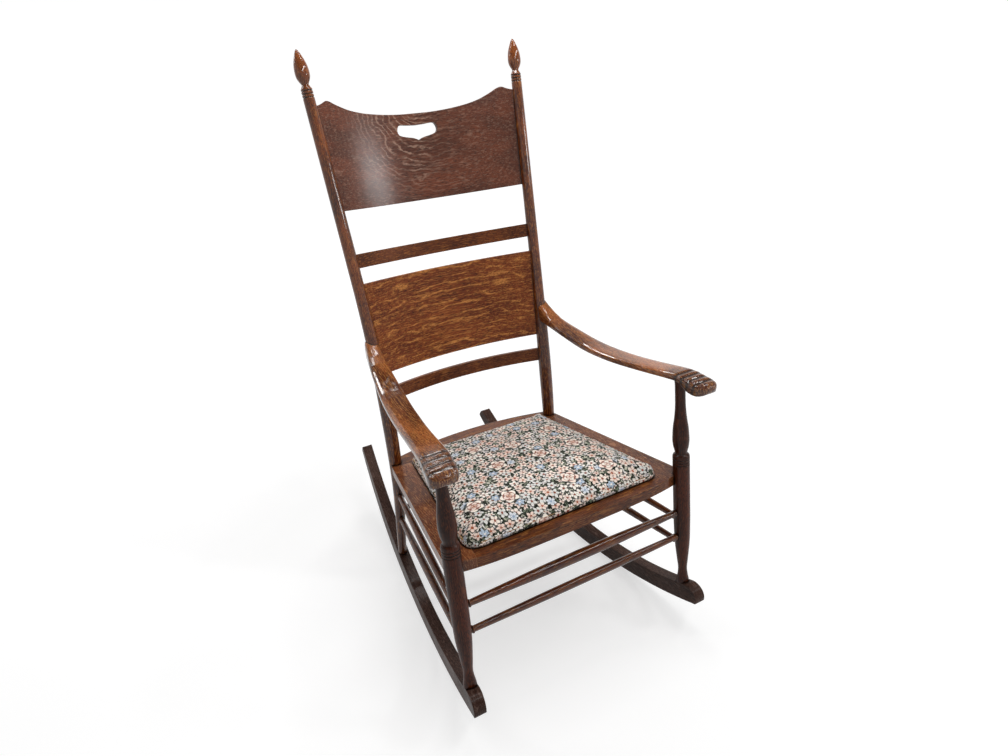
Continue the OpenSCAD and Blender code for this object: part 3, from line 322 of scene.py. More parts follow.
def paint_shade_and_grime(tree, place, colour, cuts):
    # turned grooves and flutes: dark stain, and painted shade in their hollows
    if cuts:
        groove = sum_of(tree, "MULTIPLY", cut_rows(tree, place, *cuts), 0.8)
        colour = mixed(tree, groove, colour, stain_and_shade_in_cuts)
    # Ambient Occlusion darkens corners, joins and grooves: painted shade, standing for grime as
    # well
    corner = add(tree, "AmbientOcclusion", {"Distance": corner_reach, "samples": 6}).outputs["AO"]
    colour = mixed(tree, ranged(tree, corner, 0.25, 0.85, 0.7, 0.0), colour, grime_and_shade_in_corners)
    groove = add(tree, "AmbientOcclusion", {"Distance": groove_reach, "samples": 6}).outputs["AO"]
    return mixed(tree, ranged(tree, groove, 0.6, 0.98, 0.92, 0.0), colour, grime_and_shade_in_grooves)


# The edges turn pale by a Bevel mask: partly wear, partly a painted highlight along them.
def pale_edges_wear_and_highlight(tree, place, axis, colour, pale, rounded, wear_and_edge_highlight):
    normal = add(tree, "NewGeometry").outputs["Normal"]
    turn = add(tree, "VectorMath", {"operation": "DOT_PRODUCT"}, {0: rounded, 1: normal})
    edge = ranged(tree, turn.outputs["Value"], *edge_turn)
    edge_patches = noise(tree, place, along_grain(axis, 40 * mm, 20 * mm), {"Detail": 3.0})
    edge = sum_of(tree, "MULTIPLY", edge, ranged(tree, edge_patches, 0.35, 0.6))
    return mixed(tree, sum_of(tree, "MULTIPLY", edge, wear_and_edge_highlight), colour, pale)


# %% [markdown]
# Varnish is a thin clear coat over the wood, and the stained wood under it hardly shines by itself.
# In the wood, pores are open and flakes stand a little proud. The varnish has flowed level over
# most of that and keeps the strokes of its brush, so it has a softer bump of its own, which keeps
# the lights on it crisp.

# %% Varnish
wood_relief = 0.18 * mm
varnish_relief = 0.12 * mm
print("relief of the varnish", round(varnish_relief / wood_relief, 2), "of the wood's")


def varnish(tree, shader, place, axis, rounded, pores, flakes, coat, coat_rough):
    thinned = noise(tree, place, along_grain(axis, 60 * mm, 40 * mm), {"Detail": 4.0})
    tree.links.new(ranged(tree, thinned, 0.3, 0.7, 0.36, 0.52), shader.inputs["Roughness"])
    shader.inputs["Specular IOR Level"].default_value = 0.06
    shader.inputs["Coat Weight"].default_value = coat
    shader.inputs["Coat Roughness"].default_value = coat_rough
    brushed = noise(tree, place, along_grain(axis, 30 * mm, 5 * mm), {"Detail": 2.0})
    proud = sum_of(tree, "SUBTRACT", sum_of(tree, "MULTIPLY", flakes, 0.35), pores)
    reliefs = {
        "Normal": (wood_relief, sum_of(tree, "MULTIPLY_ADD", brushed, 1.2, proud)),
        "Coat Normal": (varnish_relief, sum_of(tree, "MULTIPLY_ADD", pores, -0.12, brushed)),
    }
    for socket, (relief, height) in reliefs.items():
        bump = add(tree, "Bump", {"Strength": 0.6, "Distance": relief},
                   {"Height": height, "Normal": rounded})
        tree.links.new(bump.outputs[0], shader.inputs[socket])


# %% [markdown]
# One function puts all of that together for a piece. The boards differ in their grain, the size of
# their figure and their gloss, so these are what it is told, and the rest is alike for all.

# %% Stained oak
def stained_oak(name, axis, shades, up=Z, ring=3.2 * mm, figure=0.5, lines=ray_lines,
                line=(4.4 * mm, 1.3 * mm), coat=0.25, coat_rough=0.2, darker_end=None, cuts=None,
                wear_and_edge_highlight=0.4, checks=0.3):
    """axis is the grain's direction and up the way the rings are stacked. shades are the dark,
    middle and pale colours of the stain. line is the pitch and height of the flakes that lines
    draws. cuts is a row of grooves, as cut_rows takes it. figure, wear_and_edge_highlight and
    checks are how clearly flakes, worn places with the painted highlight on edges, and checks show."""
    sheet, tree, shader = finish_sheet(name)
    place = add(tree, "TexCoord").outputs["Object"]
    tones = [tone(shade) for shade in shades]
    pale = tones[2]
    colour = stain(tree, place, axis, up, tones, ring, darker_end)
    flakes = lines(tree, place, axis, up, *line)
    colour = mixed(tree, sum_of(tree, "MULTIPLY", flakes, figure), colour, pale)
    pores = open_pores(tree, place, axis)
    colour = darken_cracks(tree, place, axis, up, colour, pores, checks)
    patches = noise(tree, place, along_grain(axis, 34 * mm, 13 * mm), {"Detail": 4.0})
    colour = mixed(tree, ranged(tree, patches, 0.6, 0.72, 0.0, wear_and_edge_highlight * 0.8), colour, pale)
    # painted shade and grime in corners and grooves, and stain with painted shade in the cuts
    colour = paint_shade_and_grime(tree, place, colour, cuts)
    rounded = add(tree, "Bevel", {"samples": 4, "Radius": edge_reach}).outputs[0]
    # pale edges: wear, and a painted highlight along them
    colour = pale_edges_wear_and_highlight(tree, place, axis, colour, pale, rounded, wear_and_edge_highlight)
    tree.links.new(colour, shader.inputs["Base Color"])
    varnish(tree, shader, place, axis, rounded, pores, flakes, coat, coat_rough)
    return sheet


# %% [markdown]
# Three rows of cuts take dark stain and painted shade: the grooves turned under each front post's
# bead, those at the top of each back post, and the flutes across each arm's nose. Each row is given
# by the way that it runs, its first cut, their pitch, their number and their width, from the same
# sizes as the solids. Where a solid's end is the start of the row, it is measured.

# %% Where the cuts lie
turned_pitch = 6.2 * mm
turned_count = 3
post_lean = math.radians(11.3)
post_way = (0, math.sin(post_lean), math.cos(post_lean))
# middle of a front post's foot, in mm; how far sideways it stands doesn't matter here
post_foot = (0, -359.4, 103.1)
post_start = Vector(post_foot).dot(Vector(post_way)) * mm
up_to_cuts = 291.2 * mm
post_cuts = (post_way, post_start + up_to_cuts, turned_pitch, turned_count, 2.8 * mm)

# the straight top of a back post runs this far sideways, back and up, in mm
post_top_run = (41.0, 250.9, 740.9)
ring_way = Vector(post_top_run).normalized()
post_tip = max(corner.co.dot(ring_way) for corner in nodes["back_post_left"].data.vertices)
tip_to_rings = 89.6 * mm
ring_cuts = (ring_way, post_tip - tip_to_rings, turned_pitch, turned_count, 3 * mm)

nose_tip = min(corner.co.y for corner in nodes["arm_left"].data.vertices)
nose_to_flutes = 19.5 * mm
flute_pitch = 15 * mm
flute_count = 4
flutes = ((0, 1, 0), nose_tip + nose_to_flutes, flute_pitch, flute_count, 7 * mm)
print("flutes start", round(flutes[1] / mm), "mm, arms' noses", round(nose_tip / mm), "mm")

# %% [markdown]
# Every piece of the frame keeps its solid and gets its own oak, because grain runs with the
# length of a piece: level along slats and rails, upright in the posts, front to back in the arms
# and rockers. These boards were sawn and planed, and the crest, the slats and the panel bent in
# steam, before the stain and the varnish went on with a brush. The arms have the most varnish.
# The rockers are duller and greyer, from dust and wear near the floor.

# %% Oak of the flat pieces
# the crest's pale tone is greyish: ray figure, and a painted sheen on its swirl lines
crest_oak = stained_oak("crest_oak", X, ("#552916", "#753c24", "#c09a84"), ring=6 * mm,
                        figure=0.7, lines=swirl_lines_with_sheen, line=(12 * mm, 2.6 * mm), coat=0.45,
                        wear_and_edge_highlight=0.2)
panel_oak = stained_oak("panel_oak", X, ("#6a2e13", "#8b4620", "#d68d49"), figure=0.8,
                        lines=bold_lines, line=(5 * mm, 1.3 * mm), wear_and_edge_highlight=0.2, checks=0.55)
slat_oak = stained_oak("slat_oak", X, ("#4f240e", "#733a19", "#a86732"))
rail_oak = stained_oak("rail_oak", X, ("#4e240f", "#743b19", "#b07136"), coat=0.4,
                       coat_rough=0.12)
side_oak = stained_oak("side_rail_oak", Y, ("#50250f", "#7d4322", "#c08352"), up=X, coat=0.5,
                       coat_rough=0.15, wear_and_edge_highlight=0.6)
arm_oak = stained_oak("arm_oak", Y, ("#4b1d09", "#ae6230", "#dd9c57"), up=X, figure=0.4,
                      coat=0.9, coat_rough=0.1, darker_end=(Y, -235 * mm, -270 * mm), cuts=flutes,
                      wear_and_edge_highlight=0.15)
rocker_oak = stained_oak("rocker_oak", Y, ("#38221a", "#52392f", "#7d655b"), up=X,
                         figure=0.25, coat=0.12)
print("crest oak has", len(crest_oak.node_tree.nodes), "nodes")

# %% [markdown]
# Posts and stretchers were turned on a lathe and smoothed as they spun, so their varnish lies
# smoother than a board's and shows crisp lights. The front posts have the darkest colours, partly
# their stain and partly painted shade, and the least varnish left.

# %% Oak of the turned pieces
turned_gloss = {"coat": 0.8, "coat_rough": 0.06}
# the front posts' dark tones are their stain, darkened further as painted shade
post_oak = stained_oak("post_oak", Z, ("#2b0d03", "#521e07", "#84421b"), up=X, ring=4 * mm,
                       figure=0.2, coat=0.3, coat_rough=0.1, cuts=post_cuts)
# the back posts darken downward: painted shade under the arms
back_post_oak = stained_oak("back_post_oak", Z, ("#4a1b05", "#984b18", "#c67c36"), up=X,
                            ring=4 * mm, figure=0.4, darker_end=(Z, 780 * mm, 480 * mm),
                            cuts=ring_cuts, **turned_gloss)
stretcher_oak = stained_oak("stretcher_oak", X, ("#40190a", "#6a300f", "#a9682f"),
                            figure=0.4, **turned_gloss)
side_stretcher_oak = stained_oak("side_stretcher_oak", Y, ("#471c08", "#733814", "#ad6a30"),
                                 up=X, figure=0.4, **turned_gloss)
dress = {
    "crest_panel": crest_oak, "back_panel": panel_oak,
    "upper_slat": slat_oak, "lower_slat": slat_oak,
    "front_rail": rail_oak, "back_rail": rail_oak, "side_rail": side_oak,
    "arm": arm_oak, "front_post": post_oak, "back_post": back_post_oak,
    "front_stretcher": stretcher_oak, "back_stretcher": stretcher_oak,
    "side_stretcher": side_stretcher_oak, "rocker": rocker_oak,
}
print("oak for", len(dress), "kinds of pieces")

# %% [markdown]
# Two finishes stay nearly hidden. The board under the pad is bare pine that has yellowed, and
# the screws and tacks are blued steel, a cold-drawn wire with a thin dark oxide skin.

# %% Pine and steel
# both count in patches per metre: dust lies in patches of 4 cm and rust in specks of 1 mm
dust_patches = 24
rust_specks = 900


def bare_pine():
    sheet, tree, shader = finish_sheet("bare_pine")
    place = add(tree, "TexCoord").outputs["Object"]
    bands = noise(tree, place, along_grain(X, 220 * mm, 9 * mm),
                  {"Detail": 3.0, "Distortion": 0.4})
    colour = mixed(tree, ranged(tree, bands, 0.4, 0.62), tone("#c09a66"), tone("#94683a"))
    dust = noise(tree, place, [dust_patches] * 3, {"Detail": 5.0})
    colour = mixed(tree, ranged(tree, dust, 0.45, 0.7, 0.0, 0.4), colour, tone("#6a5238"))
    tree.links.new(colour, shader.inputs["Base Color"])
    tree.links.new(ranged(tree, bands, 0.3, 0.7, 0.7, 0.85), shader.inputs["Roughness"])
    bump = add(tree, "Bump", {"Strength": 0.5, "Distance": 0.2 * mm}, {"Height": bands})
    tree.links.new(bump.outputs[0], shader.inputs["Normal"])
    return sheet


def blued_steel():
    sheet, tree, shader = finish_sheet("blued_steel")
    place = add(tree, "TexCoord").outputs["Object"]
    specks = noise(tree, place, [rust_specks] * 3, {"Detail": 4.0})
    colour = mixed(tree, ranged(tree, specks, 0.4, 0.65), tone("#2c3036"), tone("#5c4a3c"))
    tree.links.new(colour, shader.inputs["Base Color"])
    tree.links.new(ranged(tree, specks, 0.3, 0.7, 0.3, 0.55), shader.inputs["Roughness"])
    shader.inputs["Metallic"].default_value = 1.0
    return sheet


dress["seat_board"] = bare_pine()
steel = blued_steel()
for screws in ("seat_screws", "arm_screws", "foot_screws", "cover_tacks"):
    dress[screws] = steel
print("finishes of rigid pieces:", sorted({sheet.name for sheet in dress.values()}))

# %% [markdown]
# The solids are already the pieces of the real chair, so each takes the finish of the word that
# its name begins with. Where two words fit, as for arm and arm_screws, the longer one counts.

# %% Dress the solids
for name, node in nodes.items():
    fitting = [key for key in dress if name.startswith(key)]
    if fitting:
        node.data.materials.clear()
        node.data.materials.append(dress[max(fitting, key=len)])
print("dressed", sum(bool(n.data.materials) for n in nodes.values()), "solids")

# %% [markdown]
# The pad is stuffing under a woven cover that is pulled down and tacked under its board. Its
# solid gives the outline and height. A cloth that is blown up a little from inside gives the
# tight, full look of a stuffed pad, which no formula does as well. It starts from a closed blank:
# the hull of the cover, meshed evenly, because long thin faces make a bad cloth.

# %% Blank for the pad
pad_voxel = 4 * mm

hull = bmesh.new()
for corner in nodes["seat_cover"].data.vertices:
    hull.verts.new(corner.co)
skin = bmesh.ops.convex_hull(hull, input=hull.verts)
inside = skin["geom_interior"] + skin["geom_unused"]
unused = {part for part in inside if isinstance(part, bmesh.types.BMVert)}
bmesh.ops.delete(hull, geom=list(unused), context="VERTS")
pad_mesh = bpy.data.meshes.new("tapestry_pad")
hull.to_mesh(pad_mesh)
hull.free()
pad = bpy.data.objects.new("tapestry_pad", pad_mesh)
bpy.context.scene.collection.objects.link(pad)
bpy.context.view_layer.objects.active = pad
pad.select_set(True)
remesh = pad.modifiers.new("even_mesh", "REMESH")
remesh.mode = "VOXEL"
remesh.voxel_size = pad_voxel
bpy.ops.object.modifier_apply(modifier=remesh.name)
print("pad blank", len(pad.data.vertices), "points")

# %% [markdown]
# The underside is held fast, as the tacks hold it. The hold lets go over the lowest stretch of the
# sides. All that isn't held is drawn in a little first, so that the pad is full size once it is
# stuffed.

# %% Hold the underside
seat_slope = math.radians(8.9)
held_height = 12 * mm
held_fade = 8 * mm
pad_shrink = 2.5 * mm
seat_up = Vector((0, math.sin(seat_slope), math.cos(seat_slope)))
mesh = pad.data
count = len(mesh.vertices)
start = np.empty(count * 3)
mesh.vertices.foreach_get("co", start)
start = start.reshape(-1, 3)
normals = np.array([v.normal for v in mesh.vertices])
up = np.array(seat_up)
height = start @ up
board_level = height.min()
held = np.clip((held_height - (height - board_level)) / held_fade, 0, 1)
start = start - normals * (pad_shrink * (1 - held))[:, None]
mesh.vertices.foreach_set("co", start.ravel())
mesh.update()
fast = pad.vertex_groups.new(name="tacked")
for i in np.flatnonzero(held > 0):
    fast.add([int(i)], float(held[i]), "REPLACE")
print("held", int((held > 0).sum()), "of", count, "points")

# %% [markdown]
# The cloth simulation presses on the blank from inside, without gravity. That gives every point
# the right direction but blows the pad up too far, so no point may move further than five
# millimetres.

# %% Stuff the pad
pad_reach = 5 * mm
settling_steps = 20

cloth = pad.modifiers.new("stuffing", "CLOTH")
cloth.settings.quality = 4
cloth.settings.use_pressure = True
cloth.settings.uniform_pressure_force = 4
cloth.settings.tension_stiffness = 20
cloth.settings.compression_stiffness = 20
cloth.settings.effector_weights.gravity = 0
cloth.settings.vertex_group_mass = fast.name
cloth.point_cache.frame_start = 1
cloth.point_cache.frame_end = settling_steps
for step in range(1, settling_steps + 1):
    bpy.context.scene.frame_set(step)
shaped = pad.evaluated_get(bpy.context.evaluated_depsgraph_get())
blown = np.empty(count * 3)
shaped.data.vertices.foreach_get("co", blown)
pad.modifiers.remove(cloth)
move = blown.reshape(-1, 3) - start
far = np.linalg.norm(move, axis=1)
print("stuffing moved points up to", round(far.max() / mm, 1), "mm")
move *= np.minimum(1, pad_reach / np.maximum(far, 1e-9))[:, None]
start = start + move
mesh.vertices.foreach_set("co", start.ravel())
mesh.update()

fine = pad.modifiers.new("smooth_cloth", "SUBSURF")
fine.levels = fine.render_levels = 1
for face in mesh.polygons:
    face.use_smooth = True
print("pad", len(mesh.vertices), "points")

# %% [markdown]
# Where the cover is drawn down, each tack pulls a small hollow into the edge and the cloth between
# two tacks stands out. At the corners the surplus lies in short pleats. These are too small for
# the even mesh of the simulation to form by itself, so they are added along the edge as a wave.

# %% Pull the edge down
tack_pitch = 44 * mm
pull_deep = 1.4 * mm
pull_high = 14 * mm
pleats_around = 22

normals = np.array([v.normal for v in mesh.vertices])
height = start @ up - board_level
side = normals - np.outer(normals @ up, up)
steep = np.linalg.norm(side, axis=1)
side /= np.maximum(steep, 1e-6)[:, None]
# how far along its edge a point lies, from back to front where the edge faces sideways
run = np.where(np.abs(side[:, 0]) > 0.7, start[:, 1], start[:, 0])
# one at the pad's corners and zero along its edges
corner = np.clip(1 - np.abs(np.abs(side[:, 0]) - 0.6) / 0.4, 0, 1)
tack_wave = np.cos(run / tack_pitch * 2 * math.pi)
pleat_wave = np.cos(np.arctan2(side[:, 1], side[:, 0]) * pleats_around)
wave = (1 - corner) * tack_wave + corner * pleat_wave
# one at the height of the pull where the pad is steep, and zero below, above and on its top
low = np.clip(1 - np.abs(height / pull_high - 1), 0, 1) * np.clip(steep * 2 - 0.6, 0, 1)
start -= side * (pull_deep * low * (0.5 + 0.5 * wave))[:, None]
mesh.vertices.foreach_set("co", start.ravel())
mesh.update()
print("edge pulled in at", int((low > 0.05).sum()), "points")

# %% [markdown]
# The pattern is woven, so it has to run over the top and down the sides without smearing. Each
# point gets its place on the flat cloth: as seen from above on the top, and further out by as much
# as it lies below the shoulder on the sides. This map is in metres, like all the rest.

# %% Lay out the cloth
shoulder = 20 * mm
along = np.array((0, math.cos(seat_slope), -math.sin(seat_slope)))
# how far the cloth has come down from the shoulder, counted only where the pad is steep
drop = np.clip(shoulder - height, 0, None) * np.clip(steep * 1.6 - 0.3, 0, 1)
laid = np.stack([start[:, 0], start @ along], axis=1)
laid += np.stack([side[:, 0], side @ along], axis=1) * drop[:, None]
cloth_map = mesh.uv_layers.new(name="cloth")
corners = np.empty(len(mesh.loops), int)
mesh.loops.foreach_get("vertex_index", corners)
cloth_map.data.foreach_set("uv", laid[corners].ravel())
print("cloth spans", np.round(np.ptp(laid, axis=0), 3), "m")

# %% [markdown]
# The cover is a jacquard tapestry in cotton: small flowers woven on a near-black green ground, an
# old and common sort of pattern. A drawn picture of it would need a file and would repeat, so it is
# built from spots scattered over the cloth. Each spot has a centre and chances of its own.

# %% Scattered spots
hardly = 1e-7
print("a layer moves the next by at most", round(hardly / mm, 5), "mm")


def spots(tree, flat, under, pitch, shift, scatter):
    """Scattered places on the cloth: distance and angle from the nearest, and its chances. Hardly
    any of the colour under them is added to the place. That moves nothing, but makes the shader
    work out one layer after another, because it has no room for all of them side by side."""
    moved = add(tree, "VectorMath", {"operation": "MULTIPLY_ADD", 1: [hardly] * 3},
                {0: under, 2: flat}).outputs[0]
    moved = add(tree, "VectorMath", {"operation": "ADD", 1: shift}, {0: moved}).outputs[0]
    settings = {"voronoi_dimensions": "2D", "Scale": 1 / pitch, "Randomness": scatter}
    cells = add(tree, "TexVoronoi", settings, {"Vector": moved}).outputs
    away = add(tree, "VectorMath", {"operation": "SUBTRACT"},
               {0: moved, 1: cells["Position"]}).outputs[0]
    axes = add(tree, "SeparateXYZ", links={0: away}).outputs
    length = add(tree, "VectorMath", {"operation": "LENGTH"}, {0: away}).outputs["Value"]
    angle = sum_of(tree, "ARCTAN2", axes["Y"], axes["X"])
    chance = add(tree, "SeparateColor", links={0: cells["Color"]}).outputs
    return length, angle, chance


# %% [markdown]
# The angle and the distance from a spot draw a flower: the petals' outline is a wave that runs
# round it, the folds lie between the petals, and the heart is a disc. A dark rim sets each flower
# off from the next. A leaf is a slim diamond.

# %% Flowers
nearly_full_turn = 6.0
heart_share = 0.3
curl_ring = (0.6, 0.07)
rim_share = 1.06
print("a rim reaches", round((rim_share - 1) * 100), "% further than its flower")


def picked_dyes(tree, chance, dyes):
    """Colours for petal, fold and heart, chosen for each flower among the given sets."""
    picked = [tone(dye) for dye in dyes[0]]
    for i, others in enumerate(dyes[1:], 1):
        chosen = sum_of(tree, "GREATER_THAN", chance, i / len(dyes))
        picked = [mixed(tree, chosen, old, tone(dye)) for old, dye in zip(picked, others)]
    return picked


def flowers(tree, flat, under, size, shape, shift, dyes, rim, turn=0.0, curl=0.2):
    """Weaves one kind of flower over the colour under it. size is its pitch and radius. shape is
    how many petals it has, how deep the gaps between them are, how freely the flowers scatter and
    what share of places has one. dyes are colours for petal, fold and heart. curl is how clearly
    an inner ring of petals shows."""
    pitch, reach = size
    petals, depth, scatter, present = shape
    length, angle, chance = spots(tree, flat, under, pitch, shift, scatter)
    angle = sum_of(tree, "MULTIPLY_ADD", chance[0], nearly_full_turn, angle)
    angle = sum_of(tree, "ADD", angle, turn)
    lobes = sum_of(tree, "COSINE", sum_of(tree, "MULTIPLY", angle, float(petals)))
    edge = sum_of(tree, "MULTIPLY_ADD", lobes, depth * reach, (1 - depth) * reach)
    share = sum_of(tree, "DIVIDE", length, edge)
    petal, fold, heart = picked_dyes(tree, chance[1], dyes)
    inner = sum_of(tree, "MULTIPLY", sum_of(tree, "COMPARE", share, *curl_ring), curl)
    folds = sum_of(tree, "MAXIMUM", ranged(tree, lobes, -0.62, -0.9), inner)
    colour = mixed(tree, sum_of(tree, "MULTIPLY", folds, 0.8), petal, fold)
    colour = mixed(tree, sum_of(tree, "LESS_THAN", share, heart_share), colour, heart)
    here = sum_of(tree, "LESS_THAN", chance[2], present)
    around = sum_of(tree, "LESS_THAN", length, reach * rim_share)
    around = sum_of(tree, "MULTIPLY", around, here)
    under = mixed(tree, sum_of(tree, "MULTIPLY", around, 0.85), under, tone(rim))
    within = sum_of(tree, "MULTIPLY", sum_of(tree, "LESS_THAN", share, 1.0), here)
    return mixed(tree, within, under, colour)


# %% Leaves
leaf_slim = 2.2
print("leaves are", leaf_slim, "times as long as wide")


def leaves(tree, flat, under, size, shift, dyes):
    """Weaves small pointed leaves of two colours over the ground."""
    pitch, reach = size
    length, angle, chance = spots(tree, flat, under, pitch, shift, 1.0)
    angle = sum_of(tree, "MULTIPLY_ADD", chance[0], nearly_full_turn, angle)
    forward = sum_of(tree, "MULTIPLY", length, sum_of(tree, "COSINE", angle))
    forward = sum_of(tree, "MULTIPLY", sum_of(tree, "ABSOLUTE", forward), 1 / reach)
    sideways = sum_of(tree, "MULTIPLY", length, sum_of(tree, "SINE", angle))
    sideways = sum_of(tree, "ABSOLUTE", sideways)
    share = sum_of(tree, "MULTIPLY_ADD", sideways, leaf_slim / reach, forward)
    second = sum_of(tree, "GREATER_THAN", chance[1], 0.5)
    colour = mixed(tree, second, tone(dyes[0]), tone(dyes[1]))
    return mixed(tree, sum_of(tree, "LESS_THAN", share, 1.0), under, colour)


# %% [markdown]
# Roses in cream and pink stand about 10 cm apart, each built from three flowers on one spot, a
# smaller one within a larger. Small cream and blush flowers with rust hearts fill the cloth between
# them, and here and there one with six petals in pale blue, so close that the ground only shows in
# gaps. Leaves lie lowest, then each kind in turn covers what was woven before it.

# %% Kinds of flowers
dark_ground = "#181b15"
fold_rust = "#98543f"
heart_rust = "#8e4a35"
rose_pitch = 100 * mm
rose_shift = (9, 3, 0)
leaf_kinds = [
    {"size": (9 * mm, 6 * mm), "shift": (3, 1, 0), "dyes": ("#66705e", "#b9baa6")},
    {"size": (11 * mm, 6 * mm), "shift": (7, 4, 0), "dyes": ("#d2cfbc", "#75806b")},
]
flower_kinds = [
    {"size": (15 * mm, 7 * mm), "shape": (5, 0.24, 0.8, 0.95), "shift": (5, 2, 0),
     "dyes": [("#fff8ee", "#8f7a62", "#9a5138"), ("#f3eee8", "#7d7a84", "#8a7f8c"),
              ("#f2e2d6", "#a57663", "#9a5138")], "rim": dark_ground},
    {"size": (21 * mm, 10.2 * mm), "shape": (5, 0.18, 0.75, 0.93), "shift": (1, 8, 0),
     "dyes": [("#fff4e8", "#a0644e", "#94492f"), ("#f8e2d4", "#96543e", "#a65a3c"),
              ("#ecebe6", "#857f78", heart_rust), ("#fff9f0", "#8e7f6a", heart_rust),
              ("#f5e6da", "#a9735f", "#b5623f")], "rim": dark_ground},
    {"size": (38 * mm, 10 * mm), "shape": (6, 0.16, 0.6, 0.65), "shift": (4, 6, 0),
     "dyes": [("#c6d3e1", "#5f7899", "#f4ede3"), ("#fdf1e6", "#9a5b45", heart_rust),
              ("#eceef0", "#6f86a3", "#93a8c0")], "rim": dark_ground, "curl": 0.6},
    {"size": (rose_pitch, 20 * mm), "shape": (5, 0.12, 0.45, 1.0), "shift": rose_shift,
     "dyes": [("#fbe9dc", "#5e3d2f", "#e6c6b5"), ("#fff6ea", "#6a4838", "#ecd2c2")],
     "rim": dark_ground, "curl": 1.0},
    {"size": (rose_pitch, 12.3 * mm), "shape": (4, 0.14, 0.45, 1.0), "shift": rose_shift,
     "dyes": [("#fbf4ea", fold_rust, "#d9a792"), ("#f5e3d7", fold_rust, "#c98c74")],
     "rim": fold_rust, "turn": 0.7},
    {"size": (rose_pitch, 6 * mm), "shape": (3, 0.1, 0.45, 1.0), "shift": rose_shift,
     "dyes": [("#f3e0d2", fold_rust, "#a5553c"), ("#e5bda9", fold_rust, heart_rust)],
     "rim": heart_rust, "turn": 1.3},
]
print(len(flower_kinds), "layers of flowers over", len(leaf_kinds), "of leaves")

# %% [markdown]
# In cloth of this kind threads are about 0.6 mm apart. They are drawn 0.9 mm apart, so that they
# show, and colours change only from thread to thread, because each place is first moved to the
# corner of its thread. A slow wander draws the flowers askew, as a loom does. The ribs of the
# weave are a bump that is highest in the middle of each thread. Cotton hardly shines, and has a
# thin fuzz.

# %% Threads
thread = 0.9 * mm
wander_size = 9 * mm
wander_far = (4 * mm, 4 * mm, 0)
print("threads", round(thread / mm, 1), "mm apart")


def thread_places(tree):
    """The place on the flat cloth, its thread's place, and that one drawn askew."""
    flat = add(tree, "UVMap", {"uv_map": "cloth"}).outputs[0]
    snapped = add(tree, "VectorMath", {"operation": "SNAP", 1: [thread] * 3}, {0: flat}).outputs[0]
    wander = add(tree, "TexNoise", {"noise_dimensions": "2D", "Scale": 1 / wander_size},
                 {"Vector": snapped})
    drawn = add(tree, "VectorMath", {"operation": "MULTIPLY_ADD", 1: wander_far},
                {0: wander.outputs["Color"], 2: snapped}).outputs[0]
    return flat, snapped, drawn


def ribs(tree, flat, snapped):
    inside = add(tree, "VectorMath", {"operation": "SUBTRACT"}, {0: flat, 1: snapped}).outputs[0]
    rib = add(tree, "SeparateXYZ", links={0: inside}).outputs
    across = sum_of(tree, "ABSOLUTE", sum_of(tree, "SUBTRACT", rib["X"], thread / 2))
    down = sum_of(tree, "ABSOLUTE", sum_of(tree, "SUBTRACT", rib["Y"], thread / 2))
    return sum_of(tree, "MULTIPLY", sum_of(tree, "MAXIMUM", across, down), -2 / thread)


# %% Tapestry
rib_relief = 0.25 * mm


def woven_tapestry():
    sheet, tree, shader = finish_sheet("woven_cotton_tapestry")
    flat, snapped, drawn = thread_places(tree)
    # patches of the ground, about 17 mm
    ground = noise(tree, snapped, (60, 60, 60), {"Detail": 2.0})
    colour = mixed(tree, ranged(tree, ground, 0.4, 0.6), tone(dark_ground), tone("#353a2f"))
    for kind in leaf_kinds:
        colour = leaves(tree, drawn, colour, **kind)
    for kind in flower_kinds:
        colour = flowers(tree, drawn, colour, **kind)
    worn = add(tree, "TexWhiteNoise", {"noise_dimensions": "2D"}, {"Vector": snapped})
    worn = sum_of(tree, "MULTIPLY", worn.outputs["Value"], 0.08)
    colour = mixed(tree, worn, colour, tone("#4a423a"))
    tree.links.new(colour, shader.inputs["Base Color"])
    shader.inputs["Roughness"].default_value = 0.92
    shader.inputs["Specular IOR Level"].default_value = 0.15
    shader.inputs["Sheen Weight"].default_value = 0.06
    shader.inputs["Sheen Roughness"].default_value = 0.5
    bump = add(tree, "Bump", {"Strength": 0.7, "Distance": rib_relief},
               {"Height": ribs(tree, flat, snapped)})
    tree.links.new(bump.outputs[0], shader.inputs["Normal"])
    return sheet


mesh.materials.append(woven_tapestry())
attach(pad, "root")
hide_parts("seat_padding", "seat_cover")
print("pad stands for its stuffing and cover")

# %% [markdown]
# The chair stands on a plain white floor, a sheet of paper that reaches out of sight. It keeps the
# chair's soft shadow, and a glow of its own lets it run into the white room without an edge. The
# glow shows in the picture and in the varnish, and lights nothing.

# %% Floor
floor_reach = 40
floor_glow = (0.6, 0.92)
floor_rim = (0.9, 3.0)


def seen_share(tree):
    """One where a ray comes from the camera or from a reflection, and zero for light on things."""
    path = add(tree, "LightPath").outputs
    seen = sum_of(tree, "MAXIMUM", path["Is Camera Ray"], path["Is Glossy Ray"])
    return sum_of(tree, "MAXIMUM", seen, path["Is Transmission Ray"])


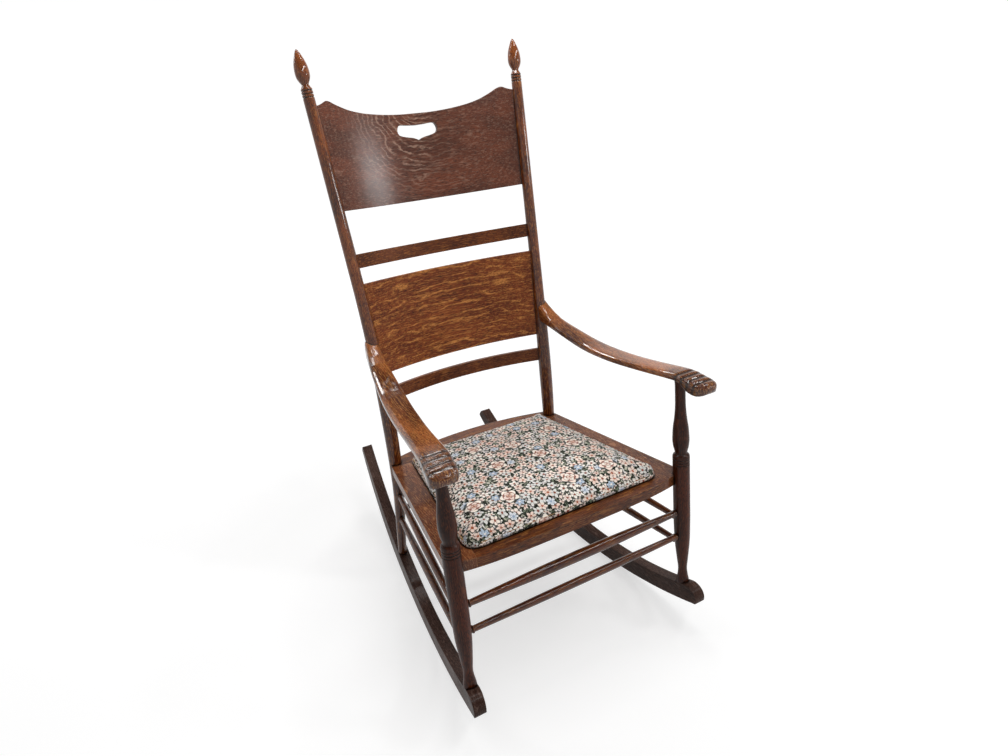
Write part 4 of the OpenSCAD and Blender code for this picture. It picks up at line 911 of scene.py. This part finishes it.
floor_mesh = bpy.data.meshes.new("floor")
floor_corners = [(-1, -1), (1, -1), (1, 1), (-1, 1)]
floor_points = [(floor_reach * i, floor_reach * j, 0) for i, j in floor_corners]
floor_mesh.from_pydata(floor_points, [], [(0, 1, 2, 3)])
floor = bpy.data.objects.new("floor", floor_mesh)
bpy.context.scene.collection.objects.link(floor)
paper, tree, shader = finish_sheet("white_paper_floor")
shader.inputs["Base Color"].default_value = tone("#bdbdbd")
shader.inputs["Roughness"].default_value = 1.0
shader.inputs["Specular IOR Level"].default_value = 0.0
shader.inputs["Emission Color"].default_value = (1, 1, 1, 1)
spot = add(tree, "TexCoord").outputs["Object"]
spot = add(tree, "VectorMath", {"operation": "LENGTH"}, {0: spot}).outputs["Value"]
glow = ranged(tree, spot, *floor_rim, *floor_glow)
glow = sum_of(tree, "MULTIPLY", seen_share(tree), glow)
tree.links.new(glow, shader.inputs["Emission Strength"])
floor_mesh.materials.append(paper)
print("floor", 2 * floor_reach, "m wide")

# %% [markdown]
# The room is white all round to the camera. A varnished chair would mirror all that white as a
# pale veil, so in reflections the room gets darker overhead, as a workshop's ceiling is behind
# its lamps. Only a fifth of the white falls on things, and the lamps do the rest.

# %% Surroundings
fill_light = 0.2
ceiling = 0.3
ceiling_edge = (0.3, 0.6)

world = bpy.data.worlds.new("white_room")
world.use_nodes = True
bpy.context.scene.world = world
tree = world.node_tree
tree.nodes.clear()
way = add(tree, "TexCoord").outputs["Generated"]
overhead = ranged(tree, add(tree, "SeparateXYZ", links={0: way}).outputs["Z"], *ceiling_edge)
shaded = sum_of(tree, "MULTIPLY", overhead, add(tree, "LightPath").outputs["Is Glossy Ray"])
white = sum_of(tree, "MULTIPLY_ADD", shaded, ceiling - 1, 1.0)
level = add(tree, "MapRange", {"To Min": fill_light}, {"Value": seen_share(tree), "To Max": white})
room = add(tree, "Background", {"Color": (1, 1, 1, 1)}, {"Strength": level.outputs[0]})
add(tree, "OutputWorld", links={"Surface": room.outputs[0]})
print("the room gives", fill_light, "of its white as light")

# %% [markdown]
# Four long tubes hang about the chair, as in a workshop: in front, above, behind and at its right.
# They draw thin lights on the turned pieces. A soft box in front and to its left gives the crest a
# faint sheen. One big lamp would light the chair as well, but its mirror image would be a broad
# pale patch on every piece.

# %% Lamps
chair_middle = Vector((0, 0, 0.5))
lamps = {
    "front_tube": ((0.7, -1.0, 2.4), (2.6, 0.1), 23),
    "middle_tube": ((0.2, 0.3, 2.5), (1.6, 0.1), 14),
    "back_tube": ((0.2, 1.6, 1.9), (1.6, 0.1), 14),
    "side_tube": ((-1.1, 1.2, 2.2), (0.1, 1.8), 9),
    "soft_box": ((1.78, -1.38, 1.65), (0.45, 0.3), 9),
}
for name, (place, size, power) in lamps.items():
    lamp = bpy.data.lights.new(name, "AREA")
    lamp.shape = "RECTANGLE"
    lamp.size, lamp.size_y = size
    lamp.energy = power
    holder = bpy.data.objects.new(name, lamp)
    holder.location = place
    aim = chair_middle - Vector(place)
    holder.rotation_euler = aim.to_track_quat("-Z", "Y").to_euler()
    bpy.context.scene.collection.objects.link(holder)
print("lamps", list(lamps))
